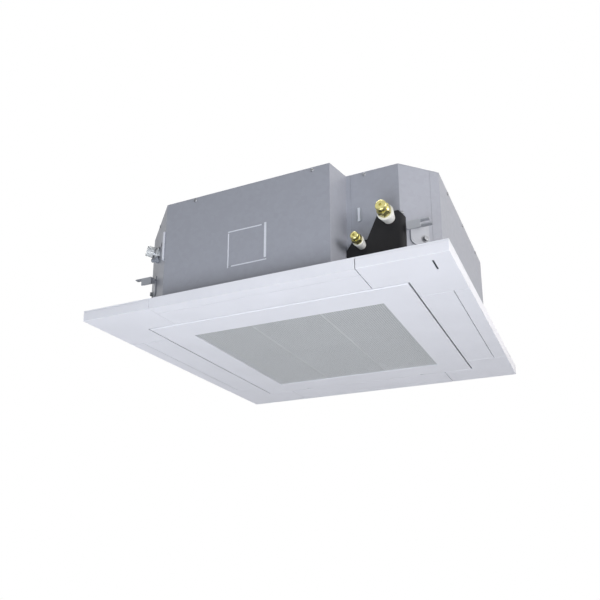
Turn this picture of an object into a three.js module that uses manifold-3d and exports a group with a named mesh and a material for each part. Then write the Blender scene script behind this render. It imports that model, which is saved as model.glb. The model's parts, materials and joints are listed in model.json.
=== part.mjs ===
// Four-way ceiling cassette air conditioner: a steel casing that hangs above the ceiling,
// and a square panel below it with an intake grille in the middle and a louver on each side.
//
// Millimetres, +Z up. The origin is under the middle of the unit, level with the lowest face
// of the intake grille. -Y is the front, the side with the fresh air knock-out. The refrigerant
// pipes leave from the recess at the right end of the front.

import * as THREE from "three";
import { mergeVertices } from "three/addons/utils/BufferGeometryUtils.js";
import Module from "manifold-3d";

const wasm = await Module();
wasm.setup();

// ---------------------------------------------------------------- driving sizes

// Clearances
const seatGap = 0.3; // between two pieces that rest on each other
const turnGap = 0.3; // round a pin or shaft in its hole
const swingGap = 1; // round a piece that swings or slides past another
const panelReveal = 1.5; // shadow line between neighbouring panel pieces
const grilleReveal = 4; // open joint all round the intake grille

// Ceiling panel
const panelWidth = 950;
const panelDepth = 28; // from the ceiling down to the panel face
const panelWall = 3;
const ceilingFlange = 2;
const cornerCapLength = 204;
const capThickness = 2.5;
const capRimHeight = 24;
const fixingHoleRadius = 4;

// Intake grille, mesh and filter
const grilleWidth = 708;
const grilleDrop = 1; // the grille stands below the panel face
const grilleEase = 1.5; // slant along the grille's outer edge
const grilleHeight = 9;
const grilleWall = 3;
const intakeWidth = 538; // clear opening in the grille frame
const meshLedge = 8;
const meshThickness = 2.5;
const meshRibWidth = 8;
const meshRibSpan = 200; // between the middles of the two ribs
const meshSlotPitch = 22;
const meshBarWidth = 8;
const filterHeight = 7;
const filterBar = 8;
const filterNet = 1;

// Grille hinge and latches
const hookSpan = 400; // between the two hinge hooks
const hookWidth = 10;
const hingePinRadius = 2;
const hingeAxisInset = 4; // from the grille's back edge
const hingeAxisHeight = 5;
const latchSpan = 360;
const latchTravel = 8;
const latchLength = 40;
const latchDepth = 24;
const latchArmWidth = 16;
const latchArmThickness = 2;
const latchPostHeight = 10;
const latchNose = 8;
const latchTabThickness = 2;
const latchTabInset = 0.5; // behind the grille's edge
const latchTabRise = 4.3; // from the grille's face to the tab's slot

// Louvers and their stepper motors
const louverWidth = 80;
const louverEdge = 2;
const louverCrown = 4.5; // thickness at the middle of the blade
const louverAxisInset = 30; // from the louver's inner edge
const louverAxisHeight = 17; // above the panel face
const louverPinRadius = 3;
const louverEarThickness = 3;
const louverEarRadius = 6;
const stepperRadius = 8.6;
const stepperLength = 15;
const stepperSocket = 7;
const stepperFlange = 1.5;
const stepperFlangeWidth = 32;

// Signal window in the front right corner cap
const windowLength = 46;
const windowWidth = 4;
const windowInset = 42; // from the panel's right edge
const windowSetback = 53; // from the panel's front edge to the window's middle
const windowHousingHeight = 12;

// Casing
const casingWidth = 840;
const casingHeight = 288; // above the ceiling
const sheet = 1;
const cornerCut = 149; // leg of the 45 degree corner
const recessDepth = 70;
const recessStart = 208; // where the pipe recess begins, right of the middle
const recessSlant = 15;
const seamFlange = 12; // how far a wall wraps past its corner
const pipeSeam = 86; // along the front right corner, where the right wall begins
const ribDepth = 4;
const ribWidth = 14;
const ribRingRadius = 250;
const spokeRibCount = 8;
const knockoutWidth = 103;
const knockoutHeight = 95;
const knockoutOffset = -30; // left of the middle
const knockoutMiddle = 119; // above the ceiling
const knockoutGap = 0.8;

// Insulation and drain pan
const linerThickness = 8;
const panHeight = 66;
const troughWidth = 46;
const troughDepth = 25;
const ductDepth = 58; // of each outlet, from inside to outside
const ductLength = 530;
const ductInset = 352; // of the outlet's inner side from the middle
const ductWall = 12;

// Bell mouth, fan and motor
const bellThroat = 206;
const bellFlare = 30;
const bellSheet = 2.5;
const bellFlangeRadius = 272;
const bellHeight = 58;
const fanRadius = 245;
const fanHeight = 163;
const fanOverlap = 8; // of the fan's shroud over the bell mouth
const fanInletGap = 6;
const fanSheet = 2.5;
const shroudHeight = 42;
const bladeCount = 7;
const bladeInnerRadius = 150;
const bladeTwist = 0.62; // radians swept between the blade's inner and outer edge
const coneRadius = 118;
const coneDepth = 72;
const hubRadius = 30;
const hubHeight = 30;
const motorRadius = 78;
const motorHeight = 80;
const motorFlangeRadius = 90;
const motorFlange = 7;
const bearingRadius = 14;
const bearingHeight = 8;
const bearingBoss = 20;
const shaftRadius = 6;
const shaftStub = 16; // below the fan's hub
const shaftDepth = 60; // inside the motor
const fanNutSize = 22; // across flats
const fanNutHeight = 10;

// Heat exchanger
const coilWidth = 600; // between the middles of opposite rows
const coilThickness = 38;
const coilCornerRadius = 70;
const coilGap = 110; // from each row's end to the corner where the pipes leave
const endPlate = 2;
const stubCount = 4;
const stubRadius = 4.8;
const stubLength = 12;
const gasHeaderRadius = 9.5;
const liquidHeaderRadius = 6.5;
const headerEnd = 22; // from the header's end to its nearest stub

// Refrigerant pipes
const gasPipeRadius = 7.94;
const gasAcross = 316;
const gasRise = 144; // above the ceiling
const gasSleeveRadius = 14;
const gasCollarRadius = 20;
const gasSleeveLength = 32;
const gasNutSize = 29;
const gasNutHeight = 22;
const gasNoseRadius = 13.5;
const gasNoseLength = 14;
const liquidPipeRadius = 4.76;
const liquidAcross = 247;
const liquidRise = 89;
const liquidSleeveRadius = 10;
const liquidCollarRadius = 14;
const liquidSleeveLength = 28;
const liquidNutSize = 22;
const liquidNutHeight = 17;
const liquidNoseRadius = 10;
const liquidNoseLength = 12;
const pipeBend = 26;
const pipeCoverThickness = 5;
const pipeCoverRim = 3; // of the cover above the pipe sleeves
const pipeCoverWrap = 15; // along the slanted corner
const grommetHeight = 36;
const grommetWidth = 12;
const grommetAcross = 240;
const grommetRise = 174;
const grommetLip = 2;

// Condensate pump, float switch and drain
const pumpRadius = 24;
const pumpHeight = 46;
const pumpMotorRadius = 20;
const pumpMotorHeight = 62;
const pumpWall = 2;
const pumpDistance = 448; // of the pump from the middle, along the front left diagonal
const pumpWellGap = 4;
const impellerRadius = 17;
const impellerHeight = 10;
const impellerShaftRadius = 2.5;
const impellerVanes = 4;
const floatOffset = 42; // of the float from the pump, along the corner
const floatRadius = 11;
const floatHeight = 16;
const floatStemRadius = 3;
const floatTravel = 10;
const floatStemHeight = 44;
const drainPortRadius = 15;
const drainPortBore = 12;
const drainPortLength = 34;
const drainPortClimb = 0.2; // rise of the port for each millimetre outwards
const drainFlangeRadius = 21;
const drainFlange = 3;
const drainAcross = -349;
const drainRise = 196; // above the ceiling
const drainHoseRadius = 7;
const cornerHoleRadius = 6;
const cornerHoleAcross = -319;
const cornerHoleRise = 205;

// Control box
const controlLength = 300;
const controlDepth = 58;
const controlHeight = 31;
const controlSheet = 1;
const controlInset = 278; // of its inner side from the middle
const boardThickness = 1.6;
const boardPost = 6;

// Hangers
const hangerPitchAcross = 780;
const hangerPitchDeep = 680;
const hangerRise = 122; // of the fork above the ceiling
const hangerSlot = 13;
const hangerProng = 12;
const hangerSheet = 3;
const hangerTip = 20; // of the prongs past the rod
const hangerFlange = 18;
const hangerPlateStart = 358; // across, where the plate begins on the slanted corner
const hangerPlateLength = 50;
const hangerPlateTop = 12;
const hangerPlateDrop = 42;
const hangerPlateRound = 14;

// ---------------------------------------------------------------- levels and lines worked out

const faceZ = grilleDrop;
const ceilingZ = faceZ + panelDepth;
const casingBottomZ = ceilingZ + seatGap;
const casingTopZ = ceilingZ + casingHeight;
const panelHalf = panelWidth / 2;
const grilleHalf = grilleWidth / 2;
const intakeHalf = intakeWidth / 2;
const capStart = panelHalf - cornerCapLength;
const capTopZ = faceZ + capThickness;
const louverStart = grilleHalf + grilleReveal;
const louverEnd = louverStart + louverWidth;
const louverHalf = capStart - panelReveal;
const louverAxisU = louverStart + louverAxisInset;
const louverAxisZ = faceZ + louverAxisHeight;
const ductWallU = louverEnd + panelReveal; // inside of the panel's outer duct wall
const innerRingU = grilleHalf - grilleWall - swingGap; // outside of the panel's inner duct wall
const innerRingZ = grilleHeight + panelWall;
const endWallX = capStart + panelWall; // outside of the wall at a louver's end
const casingHalf = casingWidth / 2;
const wallTopZ = casingTopZ - sheet - seatGap;
const plateUnderZ = casingTopZ - sheet;
const linerInset = sheet + seatGap;
const linerTopZ = casingTopZ - ribDepth - sheet - seatGap;
const linerUnderZ = linerTopZ - linerThickness;
const panTopZ = casingBottomZ + panHeight;
const troughZ = panTopZ - troughDepth;
const coilBottomZ = troughZ + seatGap;
const coilTopZ = linerUnderZ - seatGap;
const coilHalf = coilWidth / 2;
const coilEndX = coilHalf - coilGap;
const bellTopZ = casingBottomZ + bellHeight;
const fanBottomZ = bellTopZ - fanOverlap;
const fanTopZ = fanBottomZ + fanHeight;
const fanInletRadius = bellThroat + bellSheet + fanInletGap;
const hubTopZ = fanTopZ - coneDepth;
const hubBottomZ = hubTopZ - hubHeight;
const motorTopZ = plateUnderZ - seatGap;
const motorBottomZ = motorTopZ - motorHeight;
const bossBottomZ = motorBottomZ - bearingHeight - seatGap;
const gasZ = ceilingZ + gasRise;
const liquidZ = ceilingZ + liquidRise;
const recessY = -casingHalf + recessDepth;
const coverFaceY = recessY - seatGap - pipeCoverThickness;
const hangerZ = ceilingZ + hangerRise;
const drainZ = ceilingZ + drainRise;

// ---------------------------------------------------------------- shape helpers

/** The closed mesh as a solid that can be joined and cut. */
function solidOf(geometry) {
  const bare = geometry.clone();
  bare.deleteAttribute("normal");
  bare.deleteAttribute("uv");
  const merged = mergeVertices(bare, 1e-4);
  const corners = merged.index.array;
  const kept = [];
  for (let i = 0; i < corners.length; i += 3) {
    const [a, b, c] = [corners[i], corners[i + 1], corners[i + 2]];
    if (a !== b && b !== c && c !== a) kept.push(a, b, c);
  }
  return new wasm.Manifold(
    new wasm.Mesh({
      numProp: 3,
      vertProperties: new Float32Array(merged.attributes.position.array),
      triVerts: new Uint32Array(kept),
    }),
  );
}

/** The solid's surface as a geometry with flat faces. */
function geometryOf(solid) {
  const { vertProperties, triVerts } = solid.getMesh();
  const geometry = new THREE.BufferGeometry();
  geometry.setAttribute("position", new THREE.BufferAttribute(new Float32Array(vertProperties), 3));
  geometry.setIndex(new THREE.BufferAttribute(new Uint32Array(triVerts), 1));
  const flat = geometry.toNonIndexed();
  flat.computeVertexNormals();
  return flat;
}

const join = (...solids) => solids.reduce((sum, next) => sum.add(next));
const cut = (solid, ...tools) => tools.reduce((rest, tool) => rest.subtract(tool), solid);

/** An outline [[x, y], ...] as a shape, with outlines cut out of it. */
function shapeOf(outline, ...holes) {
  const points = (list) => list.map(([x, y]) => new THREE.Vector2(x, y));
  const shape = new THREE.Shape(points(outline));
  shape.holes = holes.map((hole) => new THREE.Path(points(hole)));
  return shape;
}

/** A flat piece with this outline seen from above, between two heights. */
function slab(shape, bottom, top, curveSegments = 8) {
  const depth = top - bottom;
  const geometry = new THREE.ExtrudeGeometry(shape, { depth, bevelEnabled: false, curveSegments });
  return solidOf(geometry.translate(0, 0, bottom));
}

/** A block between the given lowest and highest x, y and z. */
function block([x0, x1], [y0, y1], [z0, z1]) {
  const geometry = new THREE.BoxGeometry(x1 - x0, y1 - y0, z1 - z0);
  return solidOf(geometry.translate((x0 + x1) / 2, (y0 + y1) / 2, (z0 + z1) / 2));
}

/** A round bar, or one with flats when it has few sides; it tapers to its end's radius. */
function bar(radius, from, to, sides = 20, endRadius = radius) {
  const start = new THREE.Vector3(...from);
  const run = new THREE.Vector3(...to).sub(start);
  const geometry = new THREE.CylinderGeometry(endRadius, radius, run.length(), sides);
  const direction = run.clone().normalize();
  const turn = new THREE.Quaternion().setFromUnitVectors(new THREE.Vector3(0, 1, 0), direction);
  const middle = start.addScaledVector(run, 0.5);
  return solidOf(geometry.applyQuaternion(turn).translate(middle.x, middle.y, middle.z));
}

/** Twice the signed area of an outline: positive when it runs anticlockwise. */
function signedArea(outline) {
  return outline.reduce((sum, [x, y], i) => {
    const [nextX, nextY] = outline[(i + 1) % outline.length];
    return sum + x * nextY - nextX * y;
  }, 0);
}

/** A profile of [radius, z] points turned about the Z axis through (x, y). */
function turned(profile, segments = 28, x = 0, y = 0) {
  const outline = signedArea(profile) > 0 ? profile : [...profile].reverse();
  const points = outline.map(([radius, z]) => new THREE.Vector2(radius, z));
  const onAxis = points.findIndex((point, i) => point.x === 0 && points.at(i - 1).x === 0);
  const open =
    onAxis < 0
      ? [...points, points[0].clone()]
      : [...points.slice(onAxis), ...points.slice(0, onAxis)];
  const geometry = new THREE.LatheGeometry(open, segments);
  return solidOf(geometry.rotateX(Math.PI / 2).translate(x, y, 0));
}

/** A square frame: a profile of [distance from the middle, z] points carried round a square. */
function squareFrame(profile) {
  const wide = profile.map(([u, z]) => [u * Math.SQRT2, z]);
  return turned(wide, 4).rotate([0, 0, 45]);
}

const squareRing = (outer, inner, bottom, top) =>
  squareFrame([
    [inner, bottom],
    [outer, bottom],
    [outer, top],
    [inner, top],
  ]);

/** A round pipe along a curve. */
function pipe(curve, radius, steps, sides = 12) {
  const round = new THREE.Shape();
  round.absarc(0, 0, radius, 0, Math.PI * 2);
  const options = { extrudePath: curve, steps, bevelEnabled: false, curveSegments: sides };
  return solidOf(new THREE.ExtrudeGeometry(round, options));
}

/** Points on an arc, both ends included, angles in degrees. */
function arc(x, y, radius, from, to, steps) {
  return Array.from({ length: steps + 1 }, (_, i) => {
    const angle = THREE.MathUtils.degToRad(from + ((to - from) * i) / steps);
    return [x + radius * Math.cos(angle), y + radius * Math.sin(angle)];
  });
}

const rectangle = (x0, x1, y0, y1) => [
  [x0, y0],
  [x1, y0],
  [x1, y1],
  [x0, y1],
];

/** A square with round corners, half a side and the corner radius given. */
function roundSquare(half, radius) {
  const middle = half - radius;
  const steps = 5;
  return [
    ...arc(middle, middle, radius, 0, 90, steps),
    ...arc(-middle, middle, radius, 90, 180, steps),
    ...arc(-middle, -middle, radius, 180, 270, steps),
    ...arc(middle, -middle, radius, 270, 360, steps),
  ];
}

const quarterTurns = (solid, count) => solid.rotate([0, 0, 90 * count]);

/** The same piece on each of the four sides, joined. The first one is made for the front. */
const onFourSides = (solid) => join(...[0, 1, 2, 3].map((count) => quarterTurns(solid, count)));

// ---------------------------------------------------------------- finishes

const finish = (color, roughness, metalness) => () =>
  new THREE.MeshStandardMaterial({ color, roughness, metalness });

const galvanized = finish(0xb4b7bb, 0.42, 0.85);
const whitePlastic = finish(0xe9ebf1, 0.45, 0);
const greyPlastic = finish(0xacafb3, 0.6, 0);
const blackPlastic = finish(0x28282c, 0.6, 0);
const clearPlastic = finish(0xdfe3e6, 0.25, 0);
const whiteFoam = finish(0xf1f1ee, 0.9, 0);
const greyFoam = finish(0x6f7276, 0.95, 0);
const aluminiumFins = finish(0xc3c6ca, 0.4, 0.9);
const copper = finish(0xb8734a, 0.35, 0.95);
const brass = finish(0xc2ab62, 0.3, 0.95);
const steel = finish(0x8c9094, 0.35, 0.9);
const rubber = finish(0x3a3b3e, 0.9, 0);
const boardGreen = finish(0x2f6b4a, 0.6, 0.1);

const cassette = new THREE.Group();

/** Adds one named piece to the unit. */
function piece(name, solid, material) {
  const mesh = new THREE.Mesh(geometryOf(solid), material());
  mesh.name = name;
  cassette.add(mesh);
  return mesh;
}

// ---------------------------------------------------------------- casing outline

const casingCorners = [
  [-casingHalf, -casingHalf + cornerCut],
  [-casingHalf + cornerCut, -casingHalf],
  [recessStart - recessSlant, -casingHalf],
  [recessStart, recessY],
  [casingHalf - cornerCut + recessDepth, recessY],
  [casingHalf, -casingHalf + cornerCut],
  [casingHalf, casingHalf - cornerCut],
  [casingHalf - cornerCut, casingHalf],
  [-casingHalf + cornerCut, casingHalf],
  [-casingHalf, casingHalf - cornerCut],
];

/** Length and direction of the casing's side that starts at a corner. */
function casingSide(index) {
  const [x0, y0] = casingCorners[index];
  const [x1, y1] = casingCorners[(index + 1) % casingCorners.length];
  const length = Math.hypot(x1 - x0, y1 - y0);
  return { start: [x0, y0], length, along: [(x1 - x0) / length, (y1 - y0) / length] };
}

/** A point at a distance along one side of the casing, moved in from it. */
function onCasing(index, distance, inset = 0) {
  const { start, along } = casingSide(index);
  const [alongX, alongY] = along;
  return [
    start[0] + alongX * distance - alongY * inset,
    start[1] + alongY * distance + alongX * inset,
  ];
}

/** A corner of the casing's outline, with both its sides moved in. */
function casingCorner(index, inset) {
  const before = casingSide((index + casingCorners.length - 1) % casingCorners.length);
  const after = casingSide(index);
  const turn = before.along[0] * after.along[1] - before.along[1] * after.along[0];
  const dot = before.along[0] * after.along[0] + before.along[1] * after.along[1];
  return onCasing(index, (inset * (1 - dot)) / turn, inset);
}

const casingOutline = (inset) => casingCorners.map((_, index) => casingCorner(index, inset));

/** A sheet wall that follows the casing's corners from one seam to the next. */
function wallBetween(firstSeam, corners, lastSeam) {
  const follow = (inset) => [
    onCasing(...firstSeam, inset),
    ...corners.map((index) => casingCorner(index, inset)),
    onCasing(...lastSeam, inset),
  ];
  return slab(shapeOf([...follow(0), ...follow(sheet).reverse()]), casingBottomZ, wallTopZ);
}

// ---------------------------------------------------------------- casing walls and top

const seams = {
  frontLeft: [0, seamFlange],
  recess: [3, seamFlange],
  pipeCorner: [4, pipeSeam],
  backRight: [6, seamFlange],
  backLeft: [8, casingSide(8).length - seamFlange],
};

/** The end of a wall at a seam, short of it by the seat gap. */
const shortOf = ([side, distance]) => [side, distance - seatGap];

/** A hole along Y through the front wall, the recess or the slanted corners. */
function frontHole(x, z, radius) {
  return bar(radius, [x, -casingHalf - drainPortLength, z], [x, recessY + recessDepth, z]);
}

/** A point on the drain port's axis, a distance out from the middle of its face on the corner. */
function onDrain(distance) {
  const reach = casingCorners[0][0] + casingCorners[0][1]; // x + y on the corner's face
  const out = distance / Math.sqrt(2 + 2 * drainPortClimb ** 2);
  const z = drainZ + out * drainPortClimb * Math.SQRT2;
  return [drainAcross - out, reach - drainAcross - out, z];
}

const drainBore = (radius, from, to) => bar(radius, onDrain(from), onDrain(to), 24);

function makeFrontWall() {
  const wall = wallBetween(seams.frontLeft, [1, 2, 3], shortOf(seams.recess));
  const halfWidth = knockoutWidth / 2;
  const halfHeight = knockoutHeight / 2;
  const middleZ = ceilingZ + knockoutMiddle;
  const opening = block(
    [knockoutOffset - halfWidth, knockoutOffset + halfWidth],
    [-casingHalf - sheet, -casingHalf + 2 * sheet],
    [middleZ - halfHeight, middleZ + halfHeight],
  );
  const cornerHoleZ = ceilingZ + cornerHoleRise;
  return cut(
    wall,
    opening,
    drainBore(drainPortRadius + seatGap, -drainPortLength, drainPortLength),
    frontHole(cornerHoleAcross, cornerHoleZ, cornerHoleRadius),
  );
}

function makeKnockout() {
  const halfWidth = knockoutWidth / 2 - knockoutGap;
  const halfHeight = knockoutHeight / 2 - knockoutGap;
  const middleZ = ceilingZ + knockoutMiddle;
  return block(
    [knockoutOffset - halfWidth, knockoutOffset + halfWidth],
    [-casingHalf, -casingHalf + sheet],
    [middleZ - halfHeight, middleZ + halfHeight],
  );
}

/** The upright slot for the cables, grown all round by a margin. */
function grommetSlot(margin, front, back) {
  const radius = grommetWidth / 2 + margin;
  const half = (grommetHeight - grommetWidth) / 2;
  const z = ceilingZ + grommetRise;
  const outline = [...arc(0, half, radius, 0, 180, 6), ...arc(0, -half, radius, 180, 360, 6)];
  const upright = slab(shapeOf(outline), -back, -front).rotate([90, 0, 0]);
  return upright.translate([grommetAcross, 0, z]);
}

function makePipeCornerWall() {
  const wall = wallBetween(seams.recess, [4], shortOf(seams.pipeCorner));
  return cut(
    wall,
    frontHole(gasAcross, gasZ, gasPipeRadius + swingGap),
    frontHole(liquidAcross, liquidZ, liquidPipeRadius + swingGap),
    grommetSlot(0, recessY - sheet, recessY + 2 * sheet),
  );
}

/** A rubber lip in the cable slot, with a slit for the cables. */
function makeGrommet() {
  const neck = grommetSlot(-seatGap, recessY - seatGap - grommetLip, recessY + sheet);
  const lip = grommetSlot(grommetLip, recessY - seatGap - grommetLip, recessY - seatGap);
  const slit = grommetSlot(-grommetLip, recessY - 2 * grommetLip - sheet, recessY + 2 * sheet);
  return cut(join(neck, lip), slit);
}

/** A rib pressed down into the top plate: its outer surface, or the dent above it. */
function ribs(width, top, bottom) {
  const half = width / 2;
  const ring = turned(rectangle(ribRingRadius - half, ribRingRadius + half, bottom, top), 48);
  const spokes = Array.from({ length: spokeRibCount }, (_, i) => {
    const start = motorFlangeRadius + 2 * ribWidth - half;
    const end = casingHalf - cornerCut / 2 + half;
    const spoke = block([start, end], [-half, half], [bottom, top]);
    return spoke.rotate([0, 0, (360 * (i + 0.5)) / spokeRibCount]);
  });
  return join(ring, ...spokes);
}

function makeTopPlate() {
  const plate = slab(shapeOf(casingOutline(0)), plateUnderZ, casingTopZ);
  const bulge = ribs(ribWidth, plateUnderZ, plateUnderZ - ribDepth);
  const dent = ribs(ribWidth - 2 * sheet, casingTopZ + sheet, casingTopZ - ribDepth);
  return cut(join(plate, bulge), dent);
}

piece("front_wall", makeFrontWall(), galvanized);
piece("pipe_corner_wall", makePipeCornerWall(), galvanized);
piece("right_wall", wallBetween(seams.pipeCorner, [5, 6], shortOf(seams.backRight)), galvanized);
piece(
  "back_left_wall",
  wallBetween(seams.backRight, [7, 8, 9, 0], shortOf(seams.frontLeft)),
  galvanized,
);
piece("top_plate", makeTopPlate(), galvanized);
piece("fresh_air_knockout", makeKnockout(), galvanized);
piece("cable_grommet", makeGrommet(), rubber);

// ---------------------------------------------------------------- insulation and drain pan

function makeInsulation() {
  const outer = slab(shapeOf(casingOutline(linerInset)), panTopZ + seatGap, linerTopZ);
  const hollow = slab(shapeOf(casingOutline(linerInset + linerThickness)), casingBottomZ, linerUnderZ);
  const motorHole = bar(motorFlangeRadius + 2 * swingGap, [0, 0, coilTopZ - panHeight], [0, 0, casingTopZ]);
  return cut(
    outer,
    hollow,
    motorHole,
    frontHole(gasAcross, gasZ, gasPipeRadius + swingGap),
    frontHole(liquidAcross, liquidZ, liquidPipeRadius + swingGap),
    grommetSlot(0, recessY - sheet, recessY + 2 * linerThickness),
    drainBore(drainPortRadius + swingGap, -drainPortLength, drainPortLength),
  );
}

/** How far the outlet on a side reaches each way from its middle: the front one stops at the recess. */
function ductReach(side) {
  const half = ductLength / 2;
  const right = side === 0 ? recessStart - recessSlant - ductWall : half;
  return [-half, right];
}

function ductHole(side) {
  const [left, right] = ductReach(side);
  const span = [-ductInset - ductDepth, -ductInset];
  return quarterTurns(block([left, right], span, [ceilingZ - panHeight, panTopZ + panHeight]), side);
}

const pumpPlace = [-pumpDistance / Math.SQRT2, -pumpDistance / Math.SQRT2];
const floatPlace = [
  pumpPlace[0] + floatOffset / Math.SQRT2,
  pumpPlace[1] - floatOffset / Math.SQRT2,
];

/** The pocket under the pan that takes the control box. */
function controlSpace(margin, bottom, top) {
  const half = controlLength / 2 + margin;
  return block([-half, half], [controlInset - margin, controlInset + controlDepth + margin], [bottom, top]);
}

const controlTopZ = casingBottomZ + controlHeight;

function makeDrainPan() {
  const body = slab(shapeOf(casingOutline(linerInset)), casingBottomZ, panTopZ);
  const troughOuter = coilHalf + troughWidth / 2;
  const troughInner = coilHalf - troughWidth / 2;
  const trough = slab(
    shapeOf(
      roundSquare(troughOuter, coilCornerRadius + troughWidth / 2),
      roundSquare(troughInner, coilCornerRadius - troughWidth / 2),
    ),
    troughZ,
    panTopZ + panHeight,
  );
  const eye = bar(
    bellThroat + bellFlare + bellSheet + fanInletGap,
    [0, 0, casingBottomZ - panHeight],
    [0, 0, panTopZ + panHeight],
    36,
  );
  const bellSeat = bar(
    bellFlangeRadius + seatGap,
    [0, 0, casingBottomZ - panHeight],
    [0, 0, casingBottomZ + bellSheet + seatGap],
    36,
  );
  const wellRadius = pumpRadius + pumpWellGap;
  const well = join(
    bar(wellRadius, [...pumpPlace, troughZ], [...pumpPlace, panTopZ + panHeight], 24),
    bar(wellRadius - pumpWellGap, [...floatPlace, troughZ], [...floatPlace, panTopZ + panHeight], 24),
    slab(
      shapeOf(rectangle(-wellRadius, wellRadius, -pumpDistance, -pumpDistance + 2 * wellRadius)),
      troughZ,
      panTopZ + panHeight,
    ).rotate([0, 0, -45]),
  );
  return cut(
    body,
    trough,
    eye,
    bellSeat,
    well,
    controlSpace(seatGap, casingBottomZ - panHeight, controlTopZ + seatGap),
    ...[0, 1, 2, 3].map(ductHole),
  );
}

piece("insulation", makeInsulation(), greyFoam);
piece("drain_pan", makeDrainPan(), whiteFoam);

// ---------------------------------------------------------------- bell mouth, fan and motor

function makeBellMouth() {
  const flareTopZ = casingBottomZ + bellFlare;
  const airSide = arc(bellThroat + bellFlare, flareTopZ, bellFlare, 270, 180, 6);
  const backSide = arc(bellThroat + bellFlare, flareTopZ, bellFlare - bellSheet, 180, 270, 6);
  return turned(
    [
      [bellFlangeRadius, casingBottomZ + bellSheet],
      [bellFlangeRadius, casingBottomZ],
      ...airSide,
      [bellThroat, bellTopZ],
      [bellThroat + bellSheet, bellTopZ],
      ...backSide,
    ],
    36,
  );
}

/** The curve of the fan's shroud, from its inlet up to its rim, moved out by an offset. */
function shroudCurve(offset) {
  const reach = fanRadius - fanInletRadius;
  const steps = 6;
  return Array.from({ length: steps + 1 }, (_, i) => {
    const angle = (Math.PI / 2) * (i / steps);
    const radius = fanInletRadius + reach * (1 - Math.cos(angle));
    const z = fanBottomZ + shroudHeight * Math.sin(angle);
    return [radius + offset * Math.cos(angle), z - offset * Math.sin(angle)];
  });
}

/** One blade's outline seen from above: a thin crescent that sweeps back as it goes out. */
function bladeOutline() {
  const outer = fanRadius - fanSheet / 2;
  const steps = 6;
  const edge = (shift) =>
    Array.from({ length: steps + 1 }, (_, i) => {
      const along = i / steps;
      const radius = bladeInnerRadius + (outer - bladeInnerRadius) * along;
      const thickness = fanSheet * (0.6 + 1.6 * Math.sin(Math.PI * along));
      const angle = bladeTwist * along ** 1.3 + (shift * thickness) / (2 * radius);
      return [radius * Math.cos(angle), radius * Math.sin(angle)];
    });
  return [...edge(-1), ...edge(1).reverse()];
}

function makeTurboFan() {
  const shroud = turned([...shroudCurve(fanSheet), ...shroudCurve(0).reverse()], 36);
  const underShroud = turned(
    [
      ...shroudCurve(fanSheet / 2),
      [fanRadius + bellFlare, fanBottomZ + shroudHeight],
      [fanRadius + bellFlare, 0],
      [fanInletRadius + fanSheet / 2, 0],
    ],
    36,
  );
  const backPlate = turned(
    [
      [shaftRadius + turnGap, hubBottomZ],
      [hubRadius, hubBottomZ],
      [hubRadius, hubTopZ - fanSheet],
      [coneRadius, fanTopZ - fanSheet],
      [fanRadius, fanTopZ - fanSheet],
      [fanRadius, fanTopZ],
      [coneRadius - fanSheet / 2, fanTopZ],
      [hubRadius - fanSheet / 2, hubTopZ],
      [shaftRadius + turnGap, hubTopZ],
    ],
    36,
  );
  const bladeShape = shapeOf(bladeOutline());
  const blade = slab(bladeShape, fanBottomZ + shroudHeight / 2, fanTopZ - fanSheet / 2);
  const blades = Array.from({ length: bladeCount }, (_, i) => blade.rotate([0, 0, (360 * i) / bladeCount]));
  const cutBlades = cut(join(...blades), underShroud);
  return join(shroud, backPlate, cutBlades);
}

function makeMotor() {
  const bodyTopZ = motorTopZ - motorFlange;
  return turned([
    [0, motorTopZ],
    [0, motorBottomZ + shaftDepth],
    [shaftRadius + turnGap, motorBottomZ + shaftDepth],
    [shaftRadius + turnGap, motorBottomZ],
    [bearingRadius + seatGap, motorBottomZ],
    [bearingRadius + seatGap, bossBottomZ],
    [bearingBoss, bossBottomZ],
    [bearingBoss, motorBottomZ],
    [motorRadius, motorBottomZ],
    [motorRadius, bodyTopZ],
    [motorFlangeRadius, bodyTopZ],
    [motorFlangeRadius, motorTopZ],
  ]);
}

function makeBearing() {
  const bottom = bossBottomZ;
  return turned(rectangle(shaftRadius + turnGap, bearingRadius, bottom, bottom + bearingHeight), 24);
}

const shaftBottomZ = hubBottomZ - shaftStub;
const shaft = bar(shaftRadius, [0, 0, shaftBottomZ], [0, 0, motorBottomZ + shaftDepth - seatGap]);

function makeFanNut() {
  const top = hubBottomZ - seatGap;
  const across = fanNutSize / Math.sqrt(3); // radius at the corners
  const hex = bar(across, [0, 0, top - fanNutHeight], [0, 0, top], 6);
  return cut(hex, bar(shaftRadius + turnGap, [0, 0, shaftBottomZ - 1], [0, 0, hubTopZ]));
}

piece("bell_mouth", makeBellMouth(), whitePlastic);
piece("fan_motor", makeMotor(), steel);
piece("motor_bearing", makeBearing(), steel);
piece("turbo_fan", makeTurboFan(), greyPlastic);
piece("motor_shaft", shaft, steel);
piece("fan_nut", makeFanNut(), steel);

// ---------------------------------------------------------------- heat exchanger

function makeCoil() {
  const outer = roundSquare(coilHalf + coilThickness / 2, coilCornerRadius + coilThickness / 2);
  const inner = roundSquare(coilHalf - coilThickness / 2, coilCornerRadius - coilThickness / 2);
  const ring = slab(shapeOf(outer, inner), coilBottomZ, coilTopZ);
  const far = coilHalf + coilWidth;
  const corner = block([coilEndX, far], [-far, -coilEndX], [coilBottomZ - 1, coilTopZ + 1]);
  return cut(ring, corner);
}

const coilEdges = [coilHalf - coilThickness / 2, coilHalf + coilThickness / 2];
const plateNear = coilEndX + seatGap;
const plateFar = plateNear + endPlate;

const frontEndPlate = block(
  [plateNear, plateFar],
  [-coilEdges[1], -coilEdges[0]],
  [coilBottomZ, coilTopZ],
);
const rightEndPlate = block(
  [coilEdges[0], coilEdges[1]],
  [-plateFar, -plateNear],
  [coilBottomZ, coilTopZ],
);

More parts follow.
